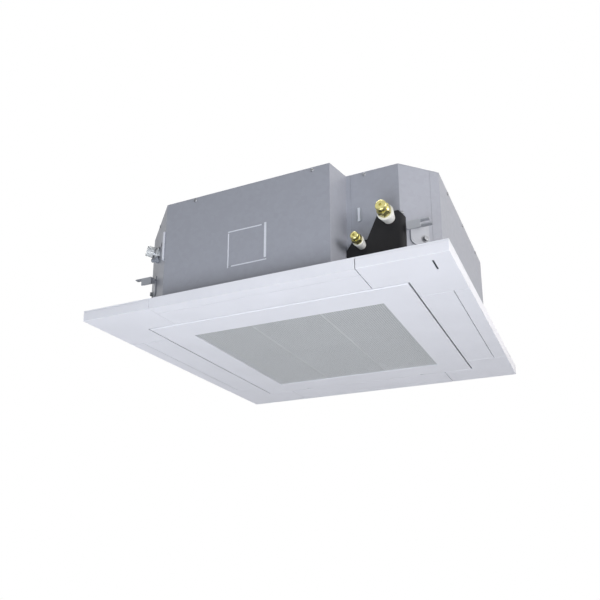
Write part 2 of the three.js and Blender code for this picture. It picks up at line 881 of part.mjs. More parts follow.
/** Heights of the stubs that join a header to the coil. */
function stubHeights() {
  const low = panTopZ + 2 * headerEnd;
  const high = coilTopZ - 2 * headerEnd;
  return Array.from({ length: stubCount }, (_, i) => low + ((high - low) * i) / (stubCount - 1));
}

/** An upright header pipe with a row of stubs, standing in front of an end plate. */
function makeHeader(radius, [x, y], [towardsX, towardsY]) {
  const heights = stubHeights();
  const low = Math.min(heights[0], liquidZ, gasZ) - headerEnd;
  const upright = bar(radius, [x, y, low], [x, y, heights.at(-1) + headerEnd]);
  const reach = radius + stubLength - seatGap;
  const stubs = heights.map((z) =>
    bar(stubRadius, [x, y, z], [x + towardsX * reach, y + towardsY * reach, z], 12),
  );
  return join(upright, ...stubs);
}

const gasHeaderPlace = [plateFar + stubLength + gasHeaderRadius, -coilHalf];
const liquidHeaderPlace = [coilHalf, -plateFar - stubLength - liquidHeaderRadius];

piece("heat_exchanger", makeCoil(), aluminiumFins);
piece("coil_end_plate_front", frontEndPlate, galvanized);
piece("coil_end_plate_right", rightEndPlate, galvanized);
piece("gas_header", makeHeader(gasHeaderRadius, gasHeaderPlace, [-1, 0]), copper);
piece("liquid_header", makeHeader(liquidHeaderRadius, liquidHeaderPlace, [0, 1]), copper);

// ---------------------------------------------------------------- refrigerant pipes

const gasSleeveEndY = coverFaceY - gasSleeveLength;
const liquidSleeveEndY = coverFaceY - liquidSleeveLength;

function makeGasPipe() {
  const start = new THREE.Vector3(gasHeaderPlace[0] + gasHeaderRadius + seatGap, gasHeaderPlace[1], gasZ);
  const bendStart = new THREE.Vector3(gasAcross - pipeBend, gasHeaderPlace[1], gasZ);
  const bend = new THREE.Vector3(gasAcross, gasHeaderPlace[1], gasZ);
  const bendEnd = new THREE.Vector3(gasAcross, gasHeaderPlace[1] - pipeBend, gasZ);
  const end = new THREE.Vector3(gasAcross, gasSleeveEndY - gasNutHeight, gasZ);
  const route = new THREE.CurvePath();
  route.add(new THREE.LineCurve3(start, bendStart));
  route.add(new THREE.QuadraticBezierCurve3(bendStart, bend, bendEnd));
  route.add(new THREE.LineCurve3(bendEnd, end));
  return pipe(route, gasPipeRadius, 14, 6);
}

function makeLiquidPipe() {
  const [headerX, headerY] = liquidHeaderPlace;
  const startY = headerY - liquidHeaderRadius - seatGap;
  const bendEndY = -coilHalf;
  const start = new THREE.Vector3(headerX, startY, liquidZ);
  const bendEnd = new THREE.Vector3(liquidAcross, bendEndY, liquidZ);
  const middleY = (startY + bendEndY) / 2;
  const swerve = new THREE.CubicBezierCurve3(
    start,
    new THREE.Vector3(headerX, middleY, liquidZ),
    new THREE.Vector3(liquidAcross, middleY, liquidZ),
    bendEnd,
  );
  const route = new THREE.CurvePath();
  route.add(swerve);
  const end = new THREE.Vector3(liquidAcross, liquidSleeveEndY - liquidNutHeight, liquidZ);
  route.add(new THREE.LineCurve3(bendEnd, end));
  return pipe(route, liquidPipeRadius, 14, 6);
}

/** The white sleeve round a pipe, from just inside the cover to the nut, where it is widest. */
function makeSleeve({ x, z, endY, radius, collarRadius, bore: boreRadius }) {
  const coverY = coverFaceY - seatGap;
  const straight = bar(radius, [x, endY, z], [x, recessY - seatGap, z]);
  const cup = bar(radius, [x, coverY, z], [x, endY, z], 20, collarRadius);
  const outside = join(straight, cup);
  return cut(outside, bar(boreRadius + turnGap, [x, endY - 1, z], [x, recessY, z]));
}

/** A flare nut with a blind bore: a hexagon behind, and a round nose at the front. */
function makeFlareNut({ x, z, back, size, height, noseRadius, noseLength, bore }) {
  const backY = back - seatGap;
  const frontY = backY - height;
  const hexagon = bar(size / Math.sqrt(3), [x, backY, z], [x, frontY, z], 6);
  const nose = bar(noseRadius, [x, frontY, z], [x, frontY - noseLength, z]);
  const blind = bar(bore + turnGap, [x, back + 1, z], [x, frontY + seatGap - turnGap, z]);
  return cut(join(hexagon, nose), blind);
}

/** The black cover in front of the recess: its outline is stepped over the two pipes. */
function makePipeCover() {
  const liquidTop = liquidZ + liquidSleeveRadius + pipeCoverRim;
  const gasTop = gasZ + gasSleeveRadius + pipeCoverRim;
  const left = recessStart + seatGap;
  const cornerX = casingCorners[4][0];
  const shoulder = gasAcross - gasSleeveRadius - 5 * pipeCoverRim;
  const outline = [
    [left, casingBottomZ],
    [left, liquidTop - 2 * liquidSleeveRadius],
    [liquidAcross - liquidSleeveRadius - 5 * pipeCoverRim, liquidTop],
    [liquidAcross + liquidSleeveRadius + pipeCoverRim, liquidTop],
    [shoulder, gasTop],
    [cornerX - pipeCoverRim, gasTop],
    [cornerX + pipeCoverWrap / Math.SQRT2, gasTop - pipeCoverWrap],
    [cornerX + pipeCoverWrap / Math.SQRT2, casingBottomZ],
  ];
  const tall = slab(shapeOf([...outline].reverse().map(([x, z]) => [x, z])), -recessDepth, recessDepth)
    .rotate([90, 0, 0])
    .translate([0, recessY, 0]);
  const inner = -seatGap;
  const outer = -seatGap - pipeCoverThickness;
  const wrapEnd = pipeCoverWrap;
  const plan = [
    [left, recessY + inner],
    [left, recessY + outer],
    casingPoint(4, 0, outer),
    onCasing(4, wrapEnd, outer),
    onCasing(4, wrapEnd, inner),
    casingPoint(4, 0, inner),
  ];
  const band = slab(shapeOf(plan), casingBottomZ, gasTop);
  return cut(
    band.intersect(tall),
    frontHole(gasAcross, gasZ, gasSleeveRadius + seatGap),
    frontHole(liquidAcross, liquidZ, liquidSleeveRadius + seatGap),
  );
}

/** A corner of the casing's outline moved out along both sides; the distance is along the next side. */
function casingPoint(index, distance, inset) {
  const [x, y] = casingCorner(index, inset);
  const [alongX, alongY] = casingSide(index).along;
  return [x + alongX * distance, y + alongY * distance];
}

piece("gas_pipe", makeGasPipe(), copper);
piece("liquid_pipe", makeLiquidPipe(), copper);
piece(
  "gas_sleeve",
  makeSleeve({
    x: gasAcross,
    z: gasZ,
    endY: gasSleeveEndY,
    radius: gasSleeveRadius,
    collarRadius: gasCollarRadius,
    bore: gasPipeRadius,
  }),
  whitePlastic,
);
piece(
  "liquid_sleeve",
  makeSleeve({
    x: liquidAcross,
    z: liquidZ,
    endY: liquidSleeveEndY,
    radius: liquidSleeveRadius,
    collarRadius: liquidCollarRadius,
    bore: liquidPipeRadius,
  }),
  whitePlastic,
);
piece(
  "gas_flare_nut",
  makeFlareNut({
    x: gasAcross,
    z: gasZ,
    back: gasSleeveEndY,
    size: gasNutSize,
    height: gasNutHeight,
    noseRadius: gasNoseRadius,
    noseLength: gasNoseLength,
    bore: gasPipeRadius,
  }),
  brass,
);
piece(
  "liquid_flare_nut",
  makeFlareNut({
    x: liquidAcross,
    z: liquidZ,
    back: liquidSleeveEndY,
    size: liquidNutSize,
    height: liquidNutHeight,
    noseRadius: liquidNoseRadius,
    noseLength: liquidNoseLength,
    bore: liquidPipeRadius,
  }),
  brass,
);
piece("pipe_cover", makePipeCover(), blackPlastic);

// ---------------------------------------------------------------- condensate pump and drain

const pumpBottomZ = troughZ + seatGap;
const pumpTopZ = pumpBottomZ + pumpHeight;

/** The pump's housing is open below, where it draws the water up, with its motor on top. */
function makePump() {
  const [x, y] = pumpPlace;
  const housing = turned(
    [
      [impellerShaftRadius + turnGap, pumpTopZ],
      [impellerShaftRadius + turnGap, pumpTopZ - pumpWall],
      [pumpRadius - pumpWall, pumpTopZ - pumpWall],
      [pumpRadius - pumpWall, pumpBottomZ],
      [pumpRadius, pumpBottomZ],
      [pumpRadius, pumpTopZ],
      [pumpMotorRadius, pumpTopZ],
      [pumpMotorRadius, pumpTopZ + pumpMotorHeight],
      [0, pumpTopZ + pumpMotorHeight],
      [0, pumpTopZ + pumpMotorHeight / 2],
      [impellerShaftRadius + turnGap, pumpTopZ + pumpMotorHeight / 2],
    ],
    24,
    x,
    y,
  );
  const outletZ = pumpTopZ - drainHoseRadius - pumpWall;
  const towards = [-drainHoseRadius, drainHoseRadius];
  const spout = bar(
    drainHoseRadius - pumpWall,
    [x, y, outletZ],
    [x + (towards[0] * pumpRadius) / drainHoseRadius, y + (towards[1] * pumpRadius) / drainHoseRadius, outletZ],
    12,
  );
  return cut(housing, spout);
}

function makeImpeller() {
  const [x, y] = pumpPlace;
  const bottom = pumpBottomZ + 2 * swingGap;
  const spindle = bar(
    impellerShaftRadius,
    [x, y, bottom],
    [x, y, pumpTopZ + pumpMotorHeight / 2 - seatGap],
    12,
  );
  const vanes = Array.from({ length: impellerVanes / 2 }, (_, i) => {
    const blade = block([-impellerRadius, impellerRadius], [-pumpWall / 2, pumpWall / 2], [0, impellerHeight]);
    return blade.rotate([0, 0, (360 * i) / impellerVanes]).translate([x, y, bottom]);
  });
  return join(spindle, ...vanes);
}

piece("drain_pump", makePump(), whitePlastic);
piece("pump_impeller", makeImpeller(), greyPlastic);

const floatRestZ = troughZ + 2 * swingGap;
const stemTopZ = floatRestZ + floatStemHeight;

/** The float switch's stem, on a foot in the pan, with the head that holds the reed above the float. */
function makeFloatStem() {
  const [x, y] = floatPlace;
  const foot = bar(floatStemRadius * 2, [x, y, troughZ + seatGap], [x, y, troughZ + swingGap], 16);
  const stem = bar(floatStemRadius, [x, y, troughZ + seatGap], [x, y, stemTopZ], 16);
  const head = bar(floatRadius, [x, y, stemTopZ - floatStemRadius], [x, y, stemTopZ + floatStemRadius], 16);
  const [pumpX, pumpY] = pumpPlace;
  const share = (pumpRadius + seatGap) / floatOffset;
  const armEnd = [x + (pumpX - x) * (1 - share), y + (pumpY - y) * (1 - share)];
  const arm = bar(floatStemRadius, [x, y, stemTopZ], [...armEnd, stemTopZ], 12);
  return join(foot, stem, head, arm);
}

function makeFloat() {
  const [x, y] = floatPlace;
  const profile = rectangle(floatStemRadius + swingGap, floatRadius, floatRestZ, floatRestZ + floatHeight);
  return turned(profile, 20, x, y);
}

piece("float_switch", makeFloatStem(), whitePlastic);
piece("float", makeFloat(), greyPlastic);

const drainBackDepth = linerInset + linerThickness + drainPortRadius / 2;

/** The clear drain port: a pipe through the corner with a flange against the wall's outside. */
function makeDrainSocket() {
  const flangeBack = drainFlangeRadius * drainPortClimb + seatGap;
  return cut(
    join(
      drainBore(drainPortRadius, -drainBackDepth, drainPortLength),
      drainBore(drainFlangeRadius, flangeBack, flangeBack + drainFlange),
    ),
    drainBore(drainPortBore, drainFlange - drainBackDepth, drainPortLength + 1),
    drainBore(drainHoseRadius - pumpWall, -drainBackDepth - 1, 0),
  );
}

/** The hose from the pump's spout up to the back of the drain port. */
function makeDrainHose() {
  const vector = (point) => new THREE.Vector3(...point);
  const [x, y] = pumpPlace;
  const spoutZ = pumpTopZ - drainHoseRadius - pumpWall;
  const fromPump = (distance, z) => vector([x - distance / Math.SQRT2, y + distance / Math.SQRT2, z]);
  const start = pumpRadius + seatGap;
  const bendStart = start + drainHoseRadius / 2;
  const upright = bendStart + 2 * drainHoseRadius;
  const lowZ = spoutZ + 2 * drainHoseRadius;
  const highZ = drainZ - 5 * drainHoseRadius;
  const reach = 4 * drainHoseRadius;
  const route = new THREE.CurvePath();
  route.add(new THREE.LineCurve3(fromPump(start, spoutZ), fromPump(bendStart, spoutZ)));
  route.add(
    new THREE.QuadraticBezierCurve3(
      fromPump(bendStart, spoutZ),
      fromPump(upright, spoutZ),
      fromPump(upright, lowZ),
    ),
  );
  route.add(new THREE.LineCurve3(fromPump(upright, lowZ), fromPump(upright, highZ)));
  route.add(
    new THREE.CubicBezierCurve3(
      fromPump(upright, highZ),
      fromPump(upright, highZ + reach),
      vector(onDrain(-drainBackDepth - reach)),
      vector(onDrain(-drainBackDepth - seatGap)),
    ),
  );
  return pipe(route, drainHoseRadius, 30, 5);
}

piece("drain_socket", makeDrainSocket(), clearPlastic);
piece("drain_hose", makeDrainHose(), clearPlastic);

// ---------------------------------------------------------------- control box

function makeControlBox() {
  const bottom = casingBottomZ;
  const outside = controlSpace(0, bottom, controlTopZ);
  const inside = controlSpace(-controlSheet, bottom - controlSheet, controlTopZ - controlSheet);
  return cut(outside, inside);
}

function makeControlBoard() {
  const topZ = controlTopZ - controlSheet - seatGap;
  const boardTop = topZ - boardPost;
  const board = controlSpace(-3 * controlSheet, boardTop - boardThickness, boardTop);
  const reachX = controlLength / 2 - 2 * boardPost;
  const midY = controlInset + controlDepth / 2;
  const posts = [-reachX, reachX].map((x) =>
    bar(boardPost / 2, [x, midY, boardTop - boardThickness / 2], [x, midY, topZ], 12),
  );
  const terminal = block(
    [reachX / 2, reachX],
    [controlInset + 2 * boardPost, controlInset + 4 * boardPost],
    [boardTop - boardThickness - 2 * boardPost, boardTop - boardThickness / 2],
  );
  const relay = block(
    [-reachX, -reachX / 2],
    [midY, midY + 3 * boardPost],
    [boardTop - boardThickness - 2 * boardPost, boardTop - boardThickness / 2],
  );
  return join(board, ...posts, terminal, relay);
}

piece("control_box", makeControlBox(), galvanized);
piece("control_board", makeControlBoard(), boardGreen);
piece(
  "control_box_cover",
  controlSpace(controlSheet, casingBottomZ - seatGap - controlSheet, casingBottomZ - seatGap),
  galvanized,
);

// ---------------------------------------------------------------- hanger brackets

/** The bracket at the front right: a fork for the hanger rod, on a plate along the slanted corner. */
function makeHanger() {
  const rodX = hangerPitchAcross / 2;
  const rodY = -hangerPitchDeep / 2;
  const half = hangerSlot / 2 + hangerProng;
  const cornerReach = casingCorners[5][0] - casingCorners[5][1]; // x - y on the corner's face
  const skin = cornerReach + (seatGap + hangerSheet / 2) * Math.SQRT2;
  const forkOutline = [
    [hangerPlateStart, hangerPlateStart - skin],
    [hangerPlateStart, rodY - half],
    [rodX + hangerTip, rodY - half],
    [rodX + hangerTip, rodY + half],
    [skin + rodY + half, rodY + half],
  ];
  const fork = slab(shapeOf(forkOutline), hangerZ, hangerZ + hangerSheet);
  const slotZ = [hangerZ - 1, hangerZ + hangerSheet + 1];
  const slot = join(
    bar(hangerSlot / 2, [rodX, rodY, slotZ[0]], [rodX, rodY, slotZ[1]]),
    block([rodX, rodX + 2 * hangerTip], [rodY - hangerSlot / 2, rodY + hangerSlot / 2], slotZ),
  );
  const flange = block(
    [hangerPlateStart, rodX],
    [rodY - half, rodY - half + hangerSheet],
    [hangerZ - hangerFlange, hangerZ + hangerSheet],
  );
  const bottom = -hangerPlateDrop;
  const top = hangerSheet + hangerPlateTop;
  const round = hangerPlateRound;
  const plateOutline = [
    ...arc(round, bottom + round, round, 180, 270, 4),
    ...arc(hangerPlateLength - round, bottom + round, round, 270, 360, 4),
    [hangerPlateLength, top],
    [0, top],
  ];
  const plate = slab(shapeOf(plateOutline), 0, hangerSheet)
    .rotate([90, 0, 0])
    .translate([0, -seatGap, 0])
    .rotate([0, 0, 45])
    .translate([hangerPlateStart, hangerPlateStart - cornerReach, hangerZ]);
  return join(plate, cut(fork, slot), flange);
}

const hanger = makeHanger();
piece("hanger_bracket_front_right", hanger, galvanized);
piece("hanger_bracket_back_right", hanger.mirror([0, 1, 0]), galvanized);
piece("hanger_bracket_front_left", hanger.mirror([1, 0, 0]), galvanized);
piece("hanger_bracket_back_left", hanger.mirror([1, 0, 0]).mirror([0, 1, 0]), galvanized);

// ---------------------------------------------------------------- ceiling panel

/** The walls and face of the panel on its front side, between two corner caps. */
function panelSide() {
  const face = [faceZ, faceZ + panelWall];
  const full = [faceZ, ceilingZ];
  const overCap = [capTopZ + seatGap, ceilingZ];
  const plate = block([-louverHalf, louverHalf], [-panelHalf, -ductWallU], face);
  const rim = block([-louverHalf, louverHalf], [-panelHalf, -panelHalf + panelWall], full);
  const ductWallFace = block([-louverHalf, louverHalf], [-ductWallU - panelWall, -ductWallU], full);
  const ductWallLong = block([-endWallX, endWallX], [-ductWallU - panelWall, -ductWallU], overCap);
  const ends = [-1, 1].flatMap((sign) => {
    const xs = [sign * capStart, sign * endWallX].sort((a, b) => a - b);
    return [
      block(xs, [-ductWallU - panelWall / 2, -louverStart], overCap),
      block(xs, [-louverStart - 1, -innerRingU + panelWall / 2], [innerRingZ, ceilingZ]),
    ];
  });
  return join(plate, rim, ductWallFace, ductWallLong, ...ends);
}

/** Everything cut from the panel on its front side: holes for the louver's pins. */
const louverPinHoles = bar(
  louverPinRadius + turnGap,
  [-panelHalf, -louverAxisU, louverAxisZ],
  [panelHalf, -louverAxisU, louverAxisZ],
  16,
).intersect(
  block([-endWallX - 1, endWallX + 1], [-ductWallU, -innerRingU], [faceZ, ceilingZ]),
);

const fixingPlace = capStart + (panelHalf - capStart) * 0.45;

const hingeY = grilleHalf - hingeAxisInset;
const hingeZ = hingeAxisHeight;

/** A hook that hangs from the inner duct wall at the back and holds the grille's pin. */
function hingeHook(x) {
  const reach = hingePinRadius + 1.2 * turnGap + 1;
  const arm = block(
    [x - hookWidth / 2, x + hookWidth / 2],
    [hingeY - reach, hingeY + reach],
    [hingeZ - reach, innerRingZ + panelWall],
  );
  const eyeEnds = [x - hookWidth, x + hookWidth].map((end) => [end, hingeY, hingeZ]);
  const eye = bar(hingePinRadius + turnGap, ...eyeEnds, 16);
  const mouthHalf = hingePinRadius - turnGap;
  const mouth = block(
    [x - hookWidth, x + hookWidth],
    [hingeY - 2 * reach, hingeY],
    [hingeZ - mouthHalf, hingeZ + mouthHalf],
  );
  return cut(arm, eye, mouth);
}

const latchXs = [-latchSpan / 2, latchSpan / 2];
const latchBaseZ = grilleWall + seatGap;
const latchArmZ = grilleHeight + seatGap;
const latchBackY = -innerRingU + panelWall + swingGap; // front side of the latch's body

/** A ledge on the inner duct wall at the front, beside a latch's nose. */
function latchKeeper(x) {
  const start = x + latchLength / 2 + latchNose + swingGap;
  const z = latchArmZ + latchArmThickness + latchPostHeight / 2;
  return block(
    [start, start + 2 * latchNose],
    [-innerRingU, -innerRingU + panelWall + latchDepth / 2],
    [z - panelWall / 2, z + panelWall / 2],
  );
}

function makePanelFrame() {
  const sides = onFourSides(panelSide());
  const topFlange = squareRing(panelHalf, ductWallU, ceilingZ - ceilingFlange, ceilingZ);
  const upperRim = squareRing(
    panelHalf,
    panelHalf - panelWall,
    faceZ + capRimHeight + seatGap,
    ceilingZ,
  );
  const innerRing = squareRing(innerRingU, innerRingU - panelWall, innerRingZ, ceilingZ);
  const cornerPlate = block(
    [endWallX - panelWall / 2, panelHalf - panelWall / 2],
    [endWallX - panelWall / 2, panelHalf - panelWall / 2],
    [ceilingZ - ceilingFlange, ceilingZ],
  );
  const innerCorner = block([0, innerRingU], [0, innerRingU], [faceZ, ceilingZ + 1]);
  const fixingHole = bar(
    fixingHoleRadius,
    [fixingPlace, fixingPlace, faceZ],
    [fixingPlace, fixingPlace, ceilingZ + 1],
    16,
  );
  const corners = onFourSides(cut(cornerPlate, innerCorner, fixingHole));
  const hooks = [-hookSpan / 2, hookSpan / 2].map(hingeHook);
  const keepers = latchXs.map(latchKeeper);
  const whole = join(sides, topFlange, upperRim, innerRing, corners, ...hooks, ...keepers);
  return cut(whole, onFourSides(louverPinHoles));
}

/** The L-shaped cap at the back right corner, with a short rim on its two outer edges. */
function makeCornerCap() {
  const plate = slab(
    shapeOf([
      [panelHalf, panelHalf],
      [capStart, panelHalf],
      [capStart, louverStart],
      [louverStart, louverStart],
      [louverStart, capStart],
      [panelHalf, capStart],
    ]),
    faceZ,
    capTopZ,
  );
  const rimInner = panelHalf - panelWall;
  const rimTop = faceZ + capRimHeight;
  return join(
    plate,
    block([capStart, panelHalf], [rimInner, panelHalf], [faceZ, rimTop]),
    block([rimInner, panelHalf], [capStart, panelHalf], [faceZ, rimTop]),
  );
}

/** The signal window's slot in the front right cap, grown all round by a margin. */
function windowSlot(margin, bottom, top) {
  const x = panelHalf - windowInset;
  const y = -panelHalf + windowSetback;
  const halfWidth = windowWidth / 2 + margin;
  const halfLength = windowLength / 2 + margin;
  return block([x - halfWidth, x + halfWidth], [y - halfLength, y + halfLength], [bottom, top]);
}

/** The window's lens, with the receiver's housing behind it on the back of the cap. */
function makeSignalWindow() {
  const housingBottom = capTopZ + seatGap;
  const lens = windowSlot(-seatGap, faceZ, housingBottom + 1);
  const housing = windowSlot(2 * windowWidth, housingBottom, housingBottom + windowHousingHeight);
  return join(lens, housing);
}

piece("panel_frame", makePanelFrame(), whitePlastic);

const cap = makeCornerCap();
piece("corner_cap_back_right", cap, whitePlastic);
piece("corner_cap_back_left", quarterTurns(cap, 1), whitePlastic);
piece("corner_cap_front_left", quarterTurns(cap, 2), whitePlastic);
piece(
  "corner_cap_front_right",
  cut(quarterTurns(cap, 3), windowSlot(0, faceZ - 1, capTopZ + 1)),
  whitePlastic,
);
piece("signal_window", makeSignalWindow(), blackPlastic);

// ---------------------------------------------------------------- louvers and their motors

/** A section drawn as [distance out from the middle, z], carried along the front louver. */
function alongFront(section, from, to) {
  const shape = shapeOf(section.map(([u, z]) => [-u, z]));
  return slab(shape, from, to).rotate([90, 0, 90]);
}

/** The front louver: a crowned blade with an ear and a pin at each end. */
function makeLouver() {
  const middle = (louverStart + louverEnd) / 2;
  const crownRise = louverCrown - louverEdge;
  const halfChord = louverWidth / 2;
  const crownRadius = (halfChord ** 2 + crownRise ** 2) / (2 * crownRise);
  const sweep = THREE.MathUtils.radToDeg(Math.asin(halfChord / crownRadius));
  const top = arc(middle, faceZ + louverCrown - crownRadius, crownRadius, 90 - sweep, 90 + sweep, 8);
  const blade = alongFront([[louverStart, faceZ], [louverEnd, faceZ], ...top], -louverHalf, louverHalf);
  const earSection = [
    [louverAxisU - 2 * louverEarRadius, faceZ + louverEdge / 2],
    [louverAxisU + 2 * louverEarRadius, faceZ + louverEdge / 2],
    ...arc(louverAxisU, louverAxisZ, louverEarRadius, 0, 180, 6),
  ];
  const ears = [-louverHalf, louverHalf - louverEarThickness].map((x) =>
    alongFront(earSection, x, x + louverEarThickness),
  );
  const pin = bar(
    louverPinRadius,
    [-endWallX + seatGap, -louverAxisU, louverAxisZ],
    [endWallX + seatGap + stepperSocket - 1, -louverAxisU, louverAxisZ],
    16,
  );
  const pinGap = block(
    [-louverHalf + louverEarThickness, louverHalf - louverEarThickness],
    [-louverEnd, -louverStart],
    [faceZ + louverCrown, ceilingZ],
  );
  return join(blade, ...ears, cut(pin, pinGap));
}

/** The stepper motor at the right end of the front louver. */
function makeStepper() {
  const start = endWallX + seatGap;
  const axisAt = (x) => [x, -louverAxisU, louverAxisZ];
  const body = bar(stepperRadius, axisAt(start), axisAt(start + stepperLength));
  const flange = block(
    [start, start + stepperFlange],
    [-louverAxisU - stepperFlangeWidth / 2, -louverAxisU + stepperFlangeWidth / 2],
    [louverAxisZ - stepperRadius / 2, louverAxisZ + stepperRadius / 2],
  );
  const socket = bar(
    louverPinRadius + turnGap,
    [start - 1, -louverAxisU, louverAxisZ],
    [start + stepperSocket, -louverAxisU, louverAxisZ],
    16,
  );
  return cut(join(body, flange), socket);
}

const sideNames = ["front", "right", "back", "left"];
const louver = makeLouver();
const stepper = makeStepper();
sideNames.forEach((side, count) => {
  piece(`louver_${side}`, quarterTurns(louver, count), whitePlastic);
  piece(`louver_motor_${side}`, quarterTurns(stepper, count), steel);
});

// ---------------------------------------------------------------- intake grille

const ledgeU = intakeHalf + meshLedge; // where the mesh's edge sits

/** The frame round the mesh: a thin face with an upstand at its inner and outer edges. */
function makeGrille() {
  const outerWallU = grilleHalf - grilleWall;
  const shell = squareFrame([
    [intakeHalf, 0],
    [grilleHalf - grilleEase, 0],
    [grilleHalf, grilleEase],
    [grilleHalf, grilleHeight],
    [outerWallU, grilleHeight],
    [outerWallU, grilleWall + grilleEase],
    [outerWallU - grilleEase, grilleWall],
    [ledgeU + grilleWall, grilleWall],
    [ledgeU + grilleWall, grilleHeight],
    [ledgeU, grilleHeight],
    [ledgeU, grilleWall],
    [intakeHalf, grilleWall],
  ]);
  const notchHalf = hookWidth / 2 + swingGap;
  const notchReach = 2 * hingeAxisInset;
  const earThickness = grilleWall;
  const hooksAt = [-hookSpan / 2, hookSpan / 2];
  const notches = hooksAt.map((x) =>
    block([x - notchHalf, x + notchHalf], [hingeY - notchReach, grilleHalf + 1], [-1, grilleHeight + 1]),
  );
  const ears = hooksAt.map((x) =>
    block(
      [x - notchHalf - earThickness, x + notchHalf + earThickness],
      [hingeY - notchReach - earThickness, grilleHalf - seatGap],
      [grilleWall / 2, grilleHeight],
    ),
  );
  const pins = hooksAt.map((x) =>
    bar(hingePinRadius, [x - notchHalf - 1, hingeY, hingeZ], [x + notchHalf + 1, hingeY, hingeZ], 16),
  );
  const latchSlots = latchXs.map((x) =>
    block(
      [x - latchArmWidth / 2 - swingGap, x + latchArmWidth / 2 + latchTravel + swingGap],
      [-grilleHalf - 1, -grilleHalf + latchTabInset + latchTabThickness + swingGap],
      [latchTabRise, grilleHeight + 1],
    ),
  );
  return join(cut(join(shell, ...ears), ...notches, ...latchSlots), ...pins);
}

function makeMesh() {
  const half = ledgeU - seatGap;
  const bottom = grilleWall + seatGap;
  const plate = block([-half, half], [-half, half], [bottom, bottom + meshThickness]);
  const columnEdges = [-intakeWidth, -meshRibSpan, meshRibSpan, intakeWidth].map((u) => u / 2);
  const slotHeight = meshSlotPitch - meshBarWidth;
  const rows = Math.floor((intakeWidth - meshBarWidth) / meshSlotPitch);
  const slots = [];
  for (let column = 1; column < columnEdges.length; column += 1) {
    const left = columnEdges[column - 1] + meshRibWidth / 2;
    const right = columnEdges[column] - meshRibWidth / 2;
    for (let row = 0; row < rows; row += 1) {
      const y = (row - (rows - 1) / 2) * meshSlotPitch;
      slots.push(rectangle(left, right, y - slotHeight / 2, y + slotHeight / 2));
    }
  }
  const through = slots.map((slot) => slab(shapeOf(slot), bottom - 1, bottom + meshThickness + 1));
  return cut(plate, join(...through));
}

const filterBottomZ = grilleWall + seatGap + meshThickness + seatGap;

/** The filter's frame with a cross of bars and the net through its middle. */
function makeFilter() {
  const half = ledgeU - swingGap;
  const top = filterBottomZ + filterHeight;
  const rim = squareRing(half, half - filterBar, filterBottomZ, top);
  const barHalf = filterBar / 2;
  const inner = half - filterBar / 2;
  const netZ = filterBottomZ + (filterHeight - filterNet) / 2;
  return join(
    rim,
    block([-inner, inner], [-barHalf, barHalf], [filterBottomZ, top]),
    block([-barHalf, barHalf], [-inner, inner], [filterBottomZ, top]),
    block([-inner, inner], [-inner, inner], [netZ, netZ + filterNet]),
  );
}

/** A sliding latch on the back of the grille's frame, with a finger tab in a slot in its edge. */
function makeLatch(x) {
  const armTopZ = latchArmZ + latchArmThickness;
  const tabY = -grilleHalf + latchTabInset;
  const body = block(
    [x - latchLength / 2, x + latchLength / 2],
    [latchBackY, latchBackY + latchDepth],
    [latchBaseZ, armTopZ],
  );
  const armX = [x - latchArmWidth / 2, x + latchArmWidth / 2];
  const arm = block(armX, [tabY, latchBackY + 1], [latchArmZ, armTopZ]);
  const tab = block(armX, [tabY, tabY + latchTabThickness], [latchTabRise + seatGap, armTopZ]);
  const postX = x + latchLength / 2;
  const postTopZ = armTopZ + latchPostHeight;
  const postY = [latchBackY, latchBackY + latchDepth / 2];
  const post = block([postX - latchNose, postX], postY, [armTopZ - 1, postTopZ]);
  const noseZ = latchArmZ + latchArmThickness + latchPostHeight / 2 + panelWall / 2 + seatGap;
  const nose = block([postX - 1, postX + latchNose], postY, [noseZ, postTopZ]);
  return join(body, arm, tab, post, nose);
}

piece("intake_grille", makeGrille(), whitePlastic);
piece("grille_mesh", makeMesh(), greyPlastic);
piece("air_filter", makeFilter(), blackPlastic);
piece("grille_latch_left", makeLatch(latchXs[0]), whitePlastic);
piece("grille_latch_right", makeLatch(latchXs[1]), whitePlastic);

export default cassette;
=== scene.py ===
# %% [markdown]
# # A ceiling cassette air conditioner
# A steel casing hangs above the ceiling on four forks. A white panel closes the hole below it,
# with an intake grille in the middle and a louver on each side. The exact solid of every part
# is loaded first, as a frame that fixes all the places and sizes. Each step then gives some of
# the parts their surface: rounded edges, small fittings and a finish. Lengths are in metres.

import json
from math import radians, sqrt

import bpy
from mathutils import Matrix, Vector


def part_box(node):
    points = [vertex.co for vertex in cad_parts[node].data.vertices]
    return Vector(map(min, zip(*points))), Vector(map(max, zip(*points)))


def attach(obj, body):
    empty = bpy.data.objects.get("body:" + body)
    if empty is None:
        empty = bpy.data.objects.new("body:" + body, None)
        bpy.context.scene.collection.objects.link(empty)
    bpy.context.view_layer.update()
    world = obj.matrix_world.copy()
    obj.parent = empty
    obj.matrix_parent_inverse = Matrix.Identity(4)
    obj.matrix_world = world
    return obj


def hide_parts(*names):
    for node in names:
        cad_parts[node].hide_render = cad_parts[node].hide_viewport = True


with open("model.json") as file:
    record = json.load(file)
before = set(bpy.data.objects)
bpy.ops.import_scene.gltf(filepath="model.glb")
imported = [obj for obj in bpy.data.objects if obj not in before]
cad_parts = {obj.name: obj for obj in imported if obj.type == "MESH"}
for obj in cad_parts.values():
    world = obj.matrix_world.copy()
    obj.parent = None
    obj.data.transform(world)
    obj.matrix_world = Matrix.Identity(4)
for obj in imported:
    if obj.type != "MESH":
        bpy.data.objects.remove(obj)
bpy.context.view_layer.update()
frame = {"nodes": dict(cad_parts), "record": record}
bodies = frame["record"]["behaviour"]["bodies"]
body_of = {node: body for body, nodes in bodies.items() for node in nodes}
mm = 0.001

# %% [markdown]
# The camera stands below the unit, in front of its right corner, and looks up. Its lens, place
# and turn could be judged by eye. They were worked out instead from the panel's four corners
# and the casing's edges, so the unit fills the picture nearly as it does in the photograph.

